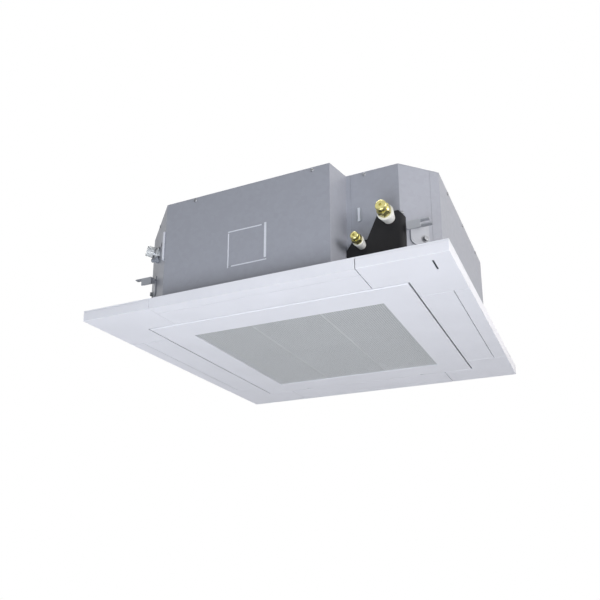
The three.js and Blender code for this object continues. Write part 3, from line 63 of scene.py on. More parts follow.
# %% Camera
camera = bpy.data.objects.new("camera", bpy.data.cameras.new("camera"))
bpy.context.scene.collection.objects.link(camera)
camera.location = (0.7315, -1.7648, -0.6502)
camera.rotation_euler = (radians(90 + 15.59), 0, radians(24.60))
camera.data.sensor_width = 36
camera.data.lens = 41.555
camera.data.shift_y = 0.15
camera.data.clip_end = 50
bpy.context.scene.camera = camera
print("camera is", round((camera.location - Vector((0, 0, 0.16))).length, 2), "m from the unit")

# %% [markdown]
# The unit was photographed in a white studio. A soft lamp below in front lights the white panel;
# the panel's edge keeps its light off the lowest part of the casing, which therefore falls off
# into blue grey. Two lamps on the right make the right side the bright one. Lamps at the back
# and above show the sides that the photograph doesn't.


# %% Lamps
def soft_lamp(name, place, target, size, power, colour=(1, 1, 1)):
    """A square lamp that points from one place to another, and isn't seen itself."""
    lamp = bpy.data.objects.new(name, bpy.data.lights.new(name, "AREA"))
    bpy.context.scene.collection.objects.link(lamp)
    lamp.location = place
    aim = Vector(target) - Vector(place)
    lamp.rotation_euler = aim.to_track_quat("-Z", "Y").to_euler()
    lamp.data.size = size
    lamp.data.energy = power
    lamp.data.color = colour
    lamp.visible_camera = False
    return lamp


soft_lamp("below", (-0.6, -0.3, -2.0), (0, 0, 0), 1.4, 3, (0.92, 0.95, 1.0))
soft_lamp("below in front", (0.3, -2.1, -1.4), (0, 0, 0), 1.4, 43, (0.91, 0.95, 1.0))
soft_lamp("front right", (2.9, -1.2, 0.1), (0, 0, 0.2), 1.5, 55, (1.0, 0.97, 0.95))
soft_lamp("right", (3.0, 0.6, 0.9), (0, 0, 0.2), 1.6, 22, (1.0, 0.97, 0.94))
soft_lamp("back left", (-1.6, 2.6, 0.9), (0, 0, 0.2), 1.8, 70)
soft_lamp("above", (-0.3, 0.2, 3.0), (0, 0, 0.3), 2.0, 45)

lamps = [thing for thing in bpy.data.objects if thing.type == "LIGHT"]
print(len(lamps), "lamps,", round(sum(lamp.data.energy for lamp in lamps)), "watts")

# %% [markdown]
# The studio's walls are white, and the camera, glass and glossy metal all see them so. As a
# light they would wash out every shadow, so for plain diffuse light they are nearly dark. The
# Light Path node tells the two kinds of ray apart, and one small helper combines its outputs.


# %% Studio background
def combined(tree, operation, first, second):
    """A Math node's result for an output and another output, or for an output and a number."""
    node = tree.nodes.new("ShaderNodeMath")
    node.operation = operation
    tree.links.new(first, node.inputs[0])
    if isinstance(second, float):
        node.inputs[1].default_value = second
    else:
        tree.links.new(second, node.inputs[1])
    return node.outputs[0]


world = bpy.context.scene.world or bpy.data.worlds.new("studio")
bpy.context.scene.world = world
world.use_nodes = True
studio = world.node_tree
studio.nodes.clear()
ray = studio.nodes.new("ShaderNodeLightPath").outputs
seen = combined(studio, "MAXIMUM", ray["Is Camera Ray"], ray["Is Transmission Ray"])
seen_or_shone = combined(studio, "MAXIMUM", seen, ray["Is Glossy Ray"])
strength = studio.nodes.new("ShaderNodeMapRange")
strength.inputs["To Min"].default_value = 0.12
strength.inputs["To Max"].default_value = 1.0
sky = studio.nodes.new("ShaderNodeBackground")
sky.inputs["Color"].default_value = (1, 1, 1, 1)
studio.links.new(seen_or_shone, strength.inputs["Value"])
studio.links.new(strength.outputs["Result"], sky.inputs["Strength"])
studio.links.new(sky.outputs[0], studio.nodes.new("ShaderNodeOutputWorld").inputs["Surface"])
print("diffuse light of the walls", round(strength.inputs["To Min"].default_value, 2))

# %% [markdown]
# The floor lies far below, because the lamps stand between it and the unit. It gets little
# light there, so it adds a glow of its own that only the camera sees, and stays pale.

# %% Floor
floor_level = -2.2
bpy.ops.object.select_all(action="DESELECT")
bpy.ops.mesh.primitive_plane_add(size=30, location=(0, 0, floor_level))
floor = bpy.context.object
floor.name = "floor"
pale = bpy.data.materials.new("pale floor")
pale.use_nodes = True
floor.data.materials.append(pale)
paint = pale.node_tree.nodes["Principled BSDF"]
paint.inputs["Base Color"].default_value = (0.8, 0.8, 0.81, 1)
paint.inputs["Roughness"].default_value = 0.9
paint.inputs["Emission Color"].default_value = (1, 1, 1, 1)
ray = pale.node_tree.nodes.new("ShaderNodeLightPath").outputs
glow = combined(pale.node_tree, "MULTIPLY", ray["Is Camera Ray"], 0.72)
pale.node_tree.links.new(glow, paint.inputs["Emission Strength"])
bpy.context.scene.view_settings.view_transform = "Standard"
print("floor at", floor_level, "m")

# %% [markdown]
# ## Finishes
# A finish is a Principled shader with a few nodes that move its colour, its roughness and its
# surface a little from place to place. An image could do that too, but a pattern worked out
# from the position has no seams and any fineness. The four helpers below add one node at a
# time, so that each finish reads like a short recipe.


# %% Helpers for finishes
def linear(red, green, blue):
    """A colour picked from a screen, 0 to 255, as the linear colour that shaders use."""
    return [(c / 255 / 12.92) if c < 11 else ((c / 255 + 0.055) / 1.055) ** 2.4
            for c in (red, green, blue)]


def finish(name, colour, roughness, metallic=0.0, **sockets):
    """A material with a Principled shader."""
    material = bpy.data.materials.new(name)
    material.use_nodes = True
    shader = material.node_tree.nodes["Principled BSDF"]
    shader.inputs["Base Color"].default_value = (*colour, 1)
    shader.inputs["Roughness"].default_value = roughness
    shader.inputs["Metallic"].default_value = metallic
    for socket, value in sockets.items():
        shader.inputs[socket.replace("_", " ")].default_value = value
    return material


def pattern(material, kind, scale, stretch=(1, 1, 1), turn=(0, 0, 0), output=0, **settings):
    """One output of a texture node that reads the piece's own coordinates."""
    tree = material.node_tree
    where = tree.nodes.new("ShaderNodeTexCoord")
    mapping = tree.nodes.new("ShaderNodeMapping")
    mapping.inputs["Scale"].default_value = stretch
    mapping.inputs["Rotation"].default_value = turn
    texture = tree.nodes.new(kind)
    for setting, value in settings.items():
        if setting in texture.inputs:
            texture.inputs[setting].default_value = value
        else:
            setattr(texture, setting, value)
    texture.inputs["Scale"].default_value = scale
    tree.links.new(where.outputs["Object"], mapping.inputs["Vector"])
    tree.links.new(mapping.outputs["Vector"], texture.inputs["Vector"])
    return texture.outputs[output]


def tones(material, source, *stops):
    """Turn a pattern into the base colour, by way of a ramp of (place, colour) stops."""
    tree = material.node_tree
    ramp = tree.nodes.new("ShaderNodeValToRGB")
    elements = ramp.color_ramp.elements
    while len(elements) < len(stops):
        elements.new(0.5)
    for element, (place, colour) in zip(elements, stops):
        element.position = place
        element.color = (*colour, 1)
    tree.links.new(source, ramp.inputs["Fac"])
    tree.links.new(ramp.outputs["Color"], tree.nodes["Principled BSDF"].inputs["Base Color"])


def gloss(material, source, low, high):
    """Let a pattern move the roughness between two values."""
    tree = material.node_tree
    spread = tree.nodes.new("ShaderNodeMapRange")
    spread.inputs["To Min"].default_value = low
    spread.inputs["To Max"].default_value = high
    tree.links.new(source, spread.inputs["Value"])
    tree.links.new(spread.outputs["Result"], tree.nodes["Principled BSDF"].inputs["Roughness"])


def relief(material, source, depth, strength=1.0):
    """Let a pattern raise and sink the surface by up to this depth."""
    tree = material.node_tree
    bump = tree.nodes.new("ShaderNodeBump")
    bump.inputs["Distance"].default_value = depth
    bump.inputs["Strength"].default_value = strength
    before = tree.nodes["Principled BSDF"].inputs["Normal"]
    if before.is_linked:
        tree.links.new(before.links[0].from_socket, bump.inputs["Normal"])
    tree.links.new(source, bump.inputs["Height"])
    tree.links.new(bump.outputs["Normal"], before)


def scaled(colour, factor):
    """The same colour, darker or lighter."""
    return [min(1.0, c * factor) for c in colour]


print("a middle grey on screen is", round(linear(128, 128, 128)[0], 3), "in a shader")


# %% [markdown]
# Galvanized sheet is steel with a skin of zinc. The skin froze into flat crystals, which show
# as patches of slightly different grey, and rolling left it faintly streaked. A Voronoi
# pattern gives every crystal one value of its own, and a stretched noise gives the streaks.


# %% Sheet metal finishes
def sheet_metal(name, colour, metallic=0.08, roughness=0.45):
    """Zinc-coated steel sheet, in a lighter or a darker grey."""
    material = finish(name, colour, roughness, metallic)
    crystals = pattern(material, "ShaderNodeTexVoronoi", 95, output="Color", Randomness=1.0)
    split = material.node_tree.nodes.new("ShaderNodeSeparateColor")
    material.node_tree.links.new(crystals, split.inputs["Color"])
    tones(material, split.outputs["Red"], (0, scaled(colour, 0.975)), (1, scaled(colour, 1.02)))
    gloss(material, split.outputs["Green"], roughness - 0.02, roughness + 0.03)
    relief(material, pattern(material, "ShaderNodeTexNoise", 40, (1, 1, 9), Detail=3), 1e-5)
    return material


zinc = sheet_metal("galvanized sheet", linear(155, 158, 168))
# A lighter copy of the same galvanized sheet: a painted highlight for the knock-out's beads and
# the front left corner lip.
highlight_zinc = sheet_metal("sheet painted lighter as highlight", linear(214, 217, 226), 0.1, 0.35)
fork_zinc = sheet_metal("thick galvanized steel", linear(168, 171, 178), 0.25, 0.4)
print(zinc.name, highlight_zinc.name, fork_zinc.name)

# %% [markdown]
# The panel, the louvers and the grille are moulded in white plastic with a slightly cold tint
# and a very fine grain, which breaks up the highlights. The rest of the plastics follow the
# same recipe in other colours.


# %% Moulded plastic finishes
def moulded(name, colour, roughness=0.42, grain=1500, depth=1.2e-5, **sockets):
    """Moulded plastic with a fine spark-eroded grain and faint cloudiness."""
    material = finish(name, colour, roughness, **sockets)
    clouds = pattern(material, "ShaderNodeTexNoise", 9, Detail=3)
    tones(material, clouds, (0.3, scaled(colour, 0.975)), (0.7, scaled(colour, 1.015)))
    gloss(material, pattern(material, "ShaderNodeTexNoise", 60, Detail=4),
          roughness - 0.05, roughness + 0.06)
    relief(material, pattern(material, "ShaderNodeTexNoise", grain, Detail=2), depth)
    return material


white_plastic = moulded("white plastic", linear(230, 231, 238))
mesh_grey = moulded("grey mesh plastic", linear(194, 196, 198), 0.5)
grey_plastic = moulded("grey plastic", linear(164, 168, 172), 0.45)
black_plastic = moulded("black plastic", linear(28, 28, 31), 0.62, Specular_IOR_Level=0.25)
filter_net = moulded("dark filter net", linear(92, 94, 98), 0.8, 900, 1e-4)
window_tint = moulded("smoked window", linear(66, 70, 78), 0.2)
sleeve_white = moulded("white pipe sleeve", linear(232, 232, 230), 0.6, 700, 6e-5)
milky = moulded("milky clear plastic", linear(240, 242, 243), 0.2,
                Transmission_Weight=0.35, IOR=1.45)
print(white_plastic.name, "and", milky.name)

# %% [markdown]
# Brass, copper and plain steel are metals, so their colour is the colour of their highlights.
# All three carry a cloudy tarnish, strongest on the copper tube, and plated steel a soft haze.


# %% Metal finishes
def metal(name, colour, roughness, tarnish=0.8, scale=35, metallic=0.9):
    """A plain metal whose tarnish follows a cloudy pattern."""
    material = finish(name, colour, roughness, metallic)
    clouds = pattern(material, "ShaderNodeTexNoise", scale, Detail=5)
    tones(material, clouds, (0.35, scaled(colour, tarnish)), (0.65, colour))
    gloss(material, clouds, roughness + 0.08, roughness - 0.04)
    relief(material, pattern(material, "ShaderNodeTexNoise", 600, Detail=2), 8e-6)
    return material


brass = metal("turned brass", linear(214, 206, 140), 0.22, 0.85, 60)
copper = metal("copper tube", linear(200, 128, 92), 0.3, 0.7)
steel = metal("zinc plated steel", linear(150, 152, 156), 0.35, 0.85)
print(brass.name, copper.name, steel.name)

# %% [markdown]
# Inside the casing there are foams, a coil of thin fins and a circuit board. Expanded foam is
# pressed together from beads, so its skin shows their outlines; a Voronoi pattern draws them.
# The fins stand 1.6 mm apart, far too many to model, so a fine wave stands for them; its dark
# bands are painted shade in the gaps between the fins.

# %% Finishes of the inside
bead_foam = finish("bead foam", linear(238, 238, 235), 0.75)
beads = pattern(bead_foam, "ShaderNodeTexVoronoi", 260, Randomness=0.9)
tones(bead_foam, beads, (0.0, linear(240, 240, 237)), (0.8, linear(222, 222, 218)))
relief(bead_foam, beads, 3e-4, 0.6)

liner_foam = finish("liner foam", linear(112, 114, 116), 0.9)
cells = pattern(liner_foam, "ShaderNodeTexNoise", 420, Detail=3)
tones(liner_foam, cells, (0.35, linear(96, 98, 100)), (0.65, linear(126, 128, 130)))
relief(liner_foam, cells, 4e-4, 0.7)

fins = finish("aluminium fins", linear(190, 196, 200), 0.35, 0.8)
fin_gap_shade = pattern(fins, "ShaderNodeTexWave", 100, (1, 1, 0), bands_direction="DIAGONAL")
# The dark stops are painted shade in the gaps between the fins, the light ones the fins.
tones(fins, fin_gap_shade, (0.0, linear(96, 100, 104)), (0.6, linear(196, 202, 206)))
relief(fins, fin_gap_shade, 8e-4)

rubber = moulded("grey rubber", linear(150, 154, 162), 0.7)
rubber_pale = moulded("pale rubber", linear(206, 210, 219), 0.7)
board_green = moulded("green circuit board", linear(46, 104, 74), 0.35, 300, 4e-5)
print(len(bpy.data.materials), "finishes")

# %% [markdown]
# ## Working on pieces
# Most parts are flat or round solids, and their shape is right already. What they lack is the
# small rounding on every edge, which catches the light on any real object. The frame's own
# parts stay as they are, so a copy is made, its loose triangles are joined into whole faces,
# and a bevel rounds every edge that is sharper than the limit.


# %% Helpers for pieces
def pick(*pieces):
    """Select these objects and nothing else, and make the first one active."""
    bpy.ops.object.select_all(action="DESELECT")
    for piece in pieces:
        piece.select_set(True)
    bpy.context.view_layer.objects.active = pieces[0]


def modify(piece, kind, **settings):
    """Add a modifier with these settings and apply it."""
    modifier = piece.modifiers.new(kind.lower(), kind)
    for setting, value in settings.items():
        setattr(modifier, setting, value)
    pick(piece)
    bpy.ops.object.modifier_apply(modifier=modifier.name)


def round_edges(piece, radius, segments=2, sharper_than=32):
    """Round the sharp edges, and shade the faces so that flat ones stay flat."""
    if radius:
        modify(piece, "BEVEL", width=radius * mm, segments=segments, limit_method="ANGLE",
               angle_limit=radians(sharper_than), use_clamp_overlap=True)
    pick(piece)
    bpy.ops.object.shade_smooth_by_angle(angle=radians(sharper_than + 8))
    modify(piece, "WEIGHTED_NORMAL", keep_sharp=True)


def hand_over(piece, material, slot, body, *nodes):
    """Give a finished piece its finish and its body, in place of these parts of the frame."""
    pick(piece)
    bpy.ops.object.transform_apply(location=True, rotation=True, scale=True)
    piece.data.materials.clear()
    piece.data.materials.append(material)
    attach(piece, body)
    if nodes:
        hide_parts(*nodes)
    return piece


def trace(node, material, radius=0.5, segments=2, sharper_than=32):
    """A copy of a part with whole faces and rounded edges, in place of the part."""
    piece = bpy.data.objects.new(f"{node}_surface", frame["nodes"][node].data.copy())
    bpy.context.scene.collection.objects.link(piece)
    pick(piece)
    bpy.ops.object.mode_set(mode="EDIT")
    bpy.ops.mesh.select_all(action="SELECT")
    bpy.ops.mesh.customdata_custom_splitnormals_clear()
    bpy.ops.mesh.remove_doubles(threshold=1e-6)
    bpy.ops.mesh.dissolve_limited(angle_limit=radians(0.8))
    bpy.ops.object.mode_set(mode="OBJECT")
    round_edges(piece, radius, segments, sharper_than)
    return hand_over(piece, material, slot_of[node], body_of[node], node)


slot_of = {part["node"]: part["material_slot"] for part in frame["record"]["subparts"]}
print(len(set(slot_of.values())), "material slots in the record")


# %% [markdown]
# ## New shapes
# The frame's solids leave out the small fittings, so these are modelled from simple primitives.
# A turned piece starts as a disc, whose face is extruded and resized again and again, as a lathe
# follows a profile; it is shaped upright at the middle of the scene, and only then stood on the
# surface that carries it. A rounded block starts as a cube between two corners, mostly in its own
# place.


# %% Helpers for new shapes
def turned(name, steps, sides=32):
    """A round piece along its own z axis; each step is (how far up, radius) in millimetres."""
    bpy.ops.object.select_all(action="DESELECT")
    bpy.ops.mesh.primitive_circle_add(vertices=sides, radius=steps[0][1] * mm, fill_type="NGON",
                                      location=(0, 0, steps[0][0] * mm))
    piece = bpy.context.object
    piece.name = name
    bpy.ops.object.transform_apply(location=True)
    bpy.ops.object.mode_set(mode="EDIT")
    bpy.ops.mesh.select_mode(type="FACE")
    bpy.ops.mesh.select_all(action="SELECT")
    for (height, radius), (next_height, next_radius) in zip(steps, steps[1:]):
        rise = (0, 0, (next_height - height) * mm)
        bpy.ops.mesh.extrude_region_move(TRANSFORM_OT_translate={"value": rise})
        widen = next_radius / radius
        bpy.ops.transform.resize(value=(widen, widen, 1), center_override=(0, 0, 0))
    bpy.ops.mesh.select_all(action="SELECT")
    bpy.ops.mesh.normals_make_consistent(inside=False)
    bpy.ops.object.mode_set(mode="OBJECT")
    return piece


def rounded_block(name, low, high, radius=0.4, segments=2):
    """A block between two corners in millimetres, with rounded edges."""
    low, high = Vector(low) * mm, Vector(high) * mm
    bpy.ops.object.select_all(action="DESELECT")
    bpy.ops.mesh.primitive_cube_add(size=1, location=(low + high) / 2, scale=high - low)
    piece = bpy.context.object
    piece.name = name
    bpy.ops.object.transform_apply(location=True, rotation=True, scale=True)
    round_edges(piece, radius, segments)
    return piece


def aimed(piece, foot, direction):
    """Stand a piece on a point in millimetres, with its own z axis along a direction."""
    piece.location = Vector(foot) * mm
    piece.rotation_euler = Vector(direction).to_track_quat("Z", "Y").to_euler()
    return piece


def twins(piece, *spots):
    """The piece and its copies, each with its own mesh, at these (foot, direction) spots."""
    row = [piece]
    for _ in spots[1:]:
        twin = piece.copy()
        twin.data = piece.data.copy()
        bpy.context.scene.collection.objects.link(twin)
        row.append(twin)
    return [aimed(twin, *spot) for twin, spot in zip(row, spots)]


def joined(name, *pieces):
    """One piece made of several, which keep their places."""
    pick(*pieces)
    bpy.ops.object.transform_apply(location=True, rotation=True, scale=True)
    bpy.ops.object.join()
    pieces[0].name = name
    return pieces[0]


helpers = (turned, rounded_block, aimed, twins, joined)
print("helpers:", ", ".join(helper.__name__ for helper in helpers))


# %% [markdown]
# ## The casing
# Four folded sheets make the walls, each with narrow flanges that wrap past its corners, and a
# pressed plate closes the top. The sheet is only 1 mm thick, so its edges are rounded by less.

# %% Casing walls and top
for wall in ("front_wall", "pipe_corner_wall", "right_wall", "back_left_wall"):
    trace(wall, zinc, 0.35)
trace("top_plate", zinc, 0.35, 1)
trace("fresh_air_knockout", zinc, 0.25)
trace("cable_grommet", rubber, 0.6)

# %% [markdown]
# ### The knock-out
# The square on the front can be broken out for a fresh air duct. Its outline is half sheared
# through, so the edge stands a little proud. Four rounded beads show it, in the lighter sheet
# that is a painted highlight; the right one is wider, and there is a small web between neighbours
# that holds the plate.

# %% Outline of the knock-out
knockout_low, knockout_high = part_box("fresh_air_knockout")
left, right = knockout_low.x / mm, knockout_high.x / mm
under, over = knockout_low.z / mm, knockout_high.z / mm
wall_at = 420
proud, lower, sunk = -wall_at - 0.7, -wall_at - 0.4, -wall_at + 0.2
beads = [
    rounded_block("bead_left", (left - 1, proud, under - 5), (left + 2.2, sunk, over - 4)),
    rounded_block("bead_over", (left - 1, proud, over - 2), (right - 8, sunk, over + 1)),
    rounded_block("bead_right", (right - 1, lower, under + 4), (right + 5, sunk, over + 4)),
    rounded_block("bead_under", (left + 10, proud, under - 3), (right + 6, sunk, under)),
]
outline = joined("knockout_outline", *beads)
# The beads get the lighter sheet, a painted highlight along the knock-out's outline.
hand_over(outline, highlight_zinc, "galvanized_steel", body_of["front_wall"])
print("knock-out", round(right - left), "by", round(over - under), "mm")

# %% [markdown]
# ### Small fittings of the casing
# The cable slot is closed by grey rubber with a pale slit in it. A narrow lip runs up the front
# left corner beside the drain, in the lighter sheet that is a painted highlight. Pan head screws
# hold the top plate; one is turned from a profile with a socket in its head and then copied.

# %% Membrane, lip and screws
recess = -350
slot_low, slot_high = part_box("cable_grommet")
middle = (slot_low.x + slot_high.x) / 2 / mm
membrane = rounded_block("slot_membrane", (middle - 3.2, recess - 2.6, slot_low.z / mm + 2),
                         (middle + 3.2, recess - 0.6, slot_high.z / mm - 2), 0.4, 2)
hand_over(membrane, rubber_pale, "rubber", body_of["cable_grommet"])

lip = rounded_block("corner_lip", (-279.5, -wall_at - 0.9, 160), (-273.5, -412, 240), 0.5)
# The lip is painted lighter than the sheet, a painted highlight on the corner.
hand_over(lip, highlight_zinc, "galvanized_steel", body_of["front_wall"])

screw_profile = [(0, 4.6), (0.7, 4.6), (2.0, 3.8), (2.6, 2.4), (2.6, 1.6), (1.3, 1.2)]
screw = turned("casing_screws", screw_profile, 20)
round_edges(screw, 0)
row, near_top, cut = (-180, 0, 180), 309, 345.5
spots = [((x, -wall_at, near_top), (0, -1, 0)) for x in (-183, 148)]
spots += [((256, recess, near_top), (0, -1, 0)), ((345, -346, 187), (1, -1, 0))]
spots += [((wall_at, y, near_top), (1, 0, 0)) for y in row]
spots += [((-wall_at, y, near_top), (-1, 0, 0)) for y in row]
spots += [((x, wall_at, near_top), (0, 1, 0)) for x in row]
spots += [((x, y, near_top), (x, y, 0)) for x, y in ((cut, cut), (-cut, cut), (-cut, -cut))]
screws = joined("casing_screws", *twins(screw, *spots))
hand_over(screws, steel, "steel", "housing")
print(len(spots), "screws in the casing")

# %% [markdown]
# ## The panel
# The panel is one frame with four corner caps clipped over it, and four louvers between them.
# Moulded edges have a radius of about a millimetre, because a sharper one would not fill.

# %% Panel, caps and louvers
corners = ("front_right", "front_left", "back_left", "back_right")
sides = ("front", "right", "back", "left")
trace("panel_frame", white_plastic, 0.8, 3)
for corner in corners:
    trace(f"corner_cap_{corner}", white_plastic, 0.8, 3)
for side in sides:
    trace(f"louver_{side}", white_plastic, 0.6, 3)
    trace(f"louver_motor_{side}", black_plastic, 0.4)
trace("signal_window", window_tint, 0.3)
trace("intake_grille", white_plastic, 0.8, 3)
trace("grille_latch_left", white_plastic, 0.4)
trace("grille_latch_right", white_plastic, 0.4)
trace("air_filter", filter_net, 0.3)

# %% [markdown]
# ### The gasket
# Air must not leak out above the ceiling, so grey foam strips close the panel's outlet openings
# where they reach past the casing. They are squeezed against the foot of each wall.

# %% Gasket round the casing's foot
reach, edge, foot = 276, 442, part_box("panel_frame")[1].z / mm
strips = [
    ((-reach, -edge), (190, -wall_at)), ((186, -edge), (reach, recess - 1)),
    ((wall_at, -reach), (edge, reach)), ((-reach, wall_at), (reach, edge)),
    ((-edge, -reach), (-wall_at, reach)),
]
gasket = [rounded_block("strip", (*low, foot), (*high, foot + 3), 0.8) for low, high in strips]
hand_over(joined("panel_gasket", *gasket), liner_foam, "grey_foam", body_of["panel_frame"])
print(len(strips), "foam strips at", round(foot), "mm")

# %% [markdown]
# ## The intake mesh
# Air goes in through a fine lattice of thin bars, with two wider ribs from front to back. One
# bar is modelled and repeated by an Array modifier, which keeps the pitch exact. A bar is
# only four long faces with its lower edges taken off, because there are more than a hundred.


# %% A helper for rows of bars
def lattice_bars(name, along, width, height, level, count, pitch, first):
    """A row of bars that run along x or y, spaced along the other axis."""
    bpy.ops.object.select_all(action="DESELECT")
    bpy.ops.mesh.primitive_cube_add(size=1)
    bars = bpy.context.object
    bars.name = name
    length = 2 * mesh_half
    bars.scale = (length, width, height) if along == "x" else (width, length, height)
    bars.location = (0, first, level) if along == "x" else (first, 0, level)
    bpy.ops.object.transform_apply(location=True, rotation=True, scale=True)
    for edge in bars.data.edges:
        ends = [bars.data.vertices[v].co for v in edge.vertices]
        long_way = abs((ends[0] - ends[1]).length - length) < 1e-5
        edge.select = long_way and (ends[0].z + ends[1].z) / 2 < level
    bpy.ops.object.mode_set(mode="EDIT")
    bpy.ops.mesh.select_mode(type="EDGE")
    bpy.ops.mesh.bevel(offset=min(width, height) * 0.3, segments=1)
    bpy.ops.object.mode_set(mode="OBJECT")
    step = (0, pitch, 0) if along == "x" else (pitch, 0, 0)
    modify(bars, "ARRAY", use_relative_offset=False, use_constant_offset=True,
           constant_offset_displace=step, count=count)
    return bars


mesh_low, mesh_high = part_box("grille_mesh")
mesh_half = mesh_high.x
print("mesh is", round(2 * mesh_half / mm), "mm wide")

# %% [markdown]
# The crossing bars lie in two layers, as in a woven cloth that was pressed flat. The two ribs
# and the rim are as deep as both layers, and stiffen them.

# %% Intake mesh
low, high = mesh_low.z, mesh_high.z
deep, half_way = high - low, (low + high) / 2
bar = {"width": 2.4 * mm, "height": 1.2 * mm, "pitch": 6.0 * mm}
bar["count"] = int(2 * mesh_half / bar["pitch"]) + 1
bar["first"] = -(bar["count"] - 1) / 2 * bar["pitch"]
across = lattice_bars("mesh_across", "x", level=low + 1.0 * mm, **bar)
along = lattice_bars("mesh_along", "y", level=high - 0.65 * mm, **bar)
ribs = lattice_bars("mesh_ribs", "y", 4.5 * mm, deep, half_way, 2, 200 * mm, -100 * mm)
rim = 8 * mm
rims = [lattice_bars("mesh_rim", axis, rim, deep, half_way, 2, 2 * mesh_half - rim,
                     -mesh_half + rim / 2) for axis in ("x", "y")]
pick(across, along, ribs, *rims)
bpy.ops.object.join()
across.name = "intake_mesh"
hand_over(across, mesh_grey, "grey_plastic", "grille", "grille_mesh")
print(2 * bar["count"], "bars in the mesh")

# %% [markdown]
# ## Hangers
# Each fork is folded from 3 mm steel, and a bolt with a washer holds it to a slanted corner of
# the casing. A threaded rod from the ceiling would go into the fork's slot. Bolt and washer are
# turned from profiles; six sides instead of many make the bolt's head.

# %% Hangers
for corner in corners:
    trace(f"hanger_bracket_{corner}", fork_zinc, 0.7, 2)
    x = 1 if corner.endswith("right") else -1
    y = -1 if corner.startswith("front") else 1
    bolt = turned("bolt", [(0, 8), (1.6, 8), (1.6, 6.4), (7.0, 6.4), (7.6, 5.6)], 6)
    washer = turned("washer", [(0, 9.2), (1.4, 9.2), (1.4, 6.0)], 32)
    for piece in (bolt, washer):
        aimed(piece, (x * 387, y * 308.5, 126), (x, y, 0))
        round_edges(piece, 0.3, 1)
    bolts = joined(f"hanger_bolt_{corner}", bolt, washer)
    hand_over(bolts, steel, "steel", body_of[f"hanger_bracket_{corner}"])

# %% [markdown]
# ## Pipes
# Two copper pipes leave the recess, each in a white foam sleeve that flares to a cup. A brass
# flare nut closes each one. Its hexagon has the usual cut corners, made by keeping only what
# lies in a turned blank as well, and its nose is turned with a groove and a small centre hole.


# %% Pipes and nuts
def flare_nut(node, size, height, nose_radius, nose_length, foot):
    """A hexagon nut with a grooved nose that points to the front, in place of a solid."""
    wide = size / sqrt(3)
    hexagon = turned(f"{node}_turned", [(0, wide), (height, wide)], 6)
    flat = size / 2
    blank = turned("blank", [(-1, flat - 1), (3, wide), (height - 4, wide), (height, flat - 0.5)],
                   48)
    modify(hexagon, "BOOLEAN", operation="INTERSECT", object=blank, solver="EXACT")
    bpy.data.objects.remove(blank)
    r, top = nose_radius, height + nose_length
    nose = turned("nose", [(height - 1, r - 1.5), (height + 1.5, r - 1.5), (height + 2.5, r),
                           (top - 3.5, r), (top - 1.2, r - 1.1), (top, r - 3.2), (top, 3.2),
                           (top - 5, 2.6)], 48)
    for piece in (hexagon, nose):
        round_edges(piece, 0.4, 2, 25)
        aimed(piece, foot, (0, -1, 0))
    nut = joined(f"{node}_turned", hexagon, nose)
    hand_over(nut, brass, "brass", body_of[node], node)


flare_nut("gas_flare_nut", 29, 22, 13.5, 14, (316, -387.6, 173))
flare_nut("liquid_flare_nut", 22, 17, 10, 12, (247, -383.6, 118))
trace("gas_pipe", copper, 0)
trace("liquid_pipe", copper, 0)
trace("gas_sleeve", sleeve_white, 1.5, 3)
trace("liquid_sleeve", sleeve_white, 1.2, 3)

# %% [markdown]
# The cover in front of the recess is one strip of black sheet with a soft fold along the slanted
# corner. The fold's upright edges get a wide rounding first, and all the others a small one.

# %% Pipe cover
cover = trace("pipe_cover", black_plastic, 0)
tall, fold_from, fold_to, in_front = 0.09, 0.330, 0.345, -0.3525
pick(cover)
bpy.ops.object.mode_set(mode="EDIT")
bpy.ops.mesh.select_mode(type="EDGE")
bpy.ops.mesh.select_all(action="DESELECT")
bpy.ops.object.mode_set(mode="OBJECT")
for edge in cover.data.edges:
    ends = [cover.data.vertices[v].co for v in edge.vertices]
    edge.select = (abs(ends[0].z - ends[1].z) > tall
                   and all(fold_from < end.x < fold_to and end.y < in_front for end in ends))
print(sum(edge.select for edge in cover.data.edges), "fold edge")
bpy.ops.object.mode_set(mode="EDIT")
bpy.ops.mesh.bevel(offset=5 * mm, segments=5)
bpy.ops.object.mode_set(mode="OBJECT")
round_edges(cover, 0.6, 2, 50)

# %% [markdown]
# ## Drain
# The condensate leaves through a milky port on the front left corner. The port has a rounded
# mouth and a metal band for the drain hose, and a rubber plug below it empties the pan.

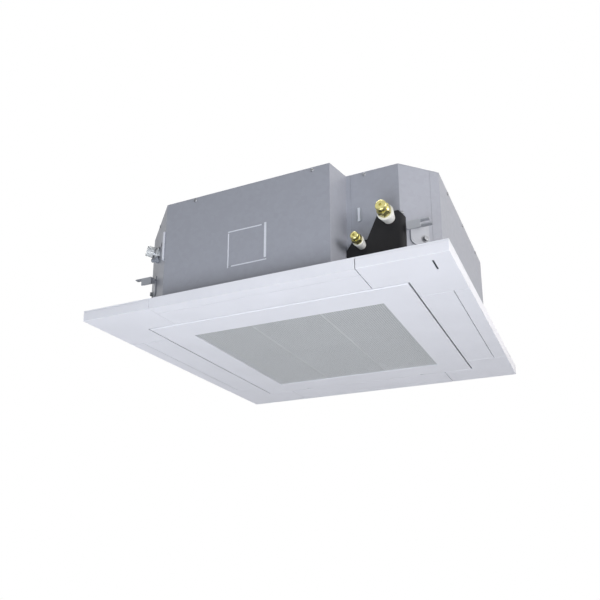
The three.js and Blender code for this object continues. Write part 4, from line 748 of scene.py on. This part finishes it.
# %% Drain
trace("drain_socket", milky, 1.0, 3)
trace("drain_hose", milky, 0)
slope = Vector((-1, -1, 0.2 * sqrt(2))).normalized()
port = Vector((-349, -342, 225)) + slope * 10
band = turned("port_band", [(0, 15.2), (0, 16.2), (5, 16.2), (5, 15.2)], 40)
tongue = rounded_block("band_tongue", (-3, -20, 0), (3, -15, 5), 0.8)
for piece in (band, tongue):
    round_edges(piece, 0.3, 1)
    aimed(piece, port, slope)
hand_over(joined("port_clamp", band, tongue), steel, "steel", body_of["drain_socket"])

plug_profile = [(0, 7), (3, 7), (3, 9.5), (7, 9.5), (9, 8.4), (9, 6), (20, 5), (21.5, 3.6)]
plug = turned("drain_plug", plug_profile, 32)
round_edges(plug, 0.4, 2)
aimed(plug, (-343, -348, 206), (-1, -1, -0.55))
hand_over(plug, rubber, "rubber", body_of["drain_socket"])
print("drain port at", round(port.z), "mm")

# %% [markdown]
# ### Drain pump
# A small pump lifts the condensate from the pan up to the port. A float beside it rises with
# the water and starts the pump. All four are smooth moulded parts, so a copy of each solid with
# rounded edges is enough.

# %% Drain pump
trace("drain_pump", white_plastic, 0.5)
trace("pump_impeller", grey_plastic, 0.3)
trace("float_switch", white_plastic, 0.3)
trace("float", grey_plastic, 0.4)

# %% [markdown]
# ## Inside
# The fan, its motor and the coil show when the grille hangs open. They are traced like the
# rest: their solids have the right forms, and only want softer edges and their finishes.

# %% Inside
trace("insulation", liner_foam, 0.8)
trace("drain_pan", bead_foam, 1.5)
trace("bell_mouth", white_plastic, 0.8)
trace("fan_motor", black_plastic, 0.8)
trace("motor_bearing", steel, 0.4)
trace("turbo_fan", grey_plastic, 0.6)
trace("motor_shaft", steel, 0.4)
trace("fan_nut", steel, 0.5)
trace("heat_exchanger", fins, 0.5)
for node in ("coil_end_plate_front", "coil_end_plate_right"):
    trace(node, zinc, 0.3)
trace("gas_header", copper, 0.6)
trace("liquid_header", copper, 0.6)
trace("control_box", zinc, 0.3)
trace("control_box_cover", zinc, 0.3)
trace("control_board", board_green, 0.2)
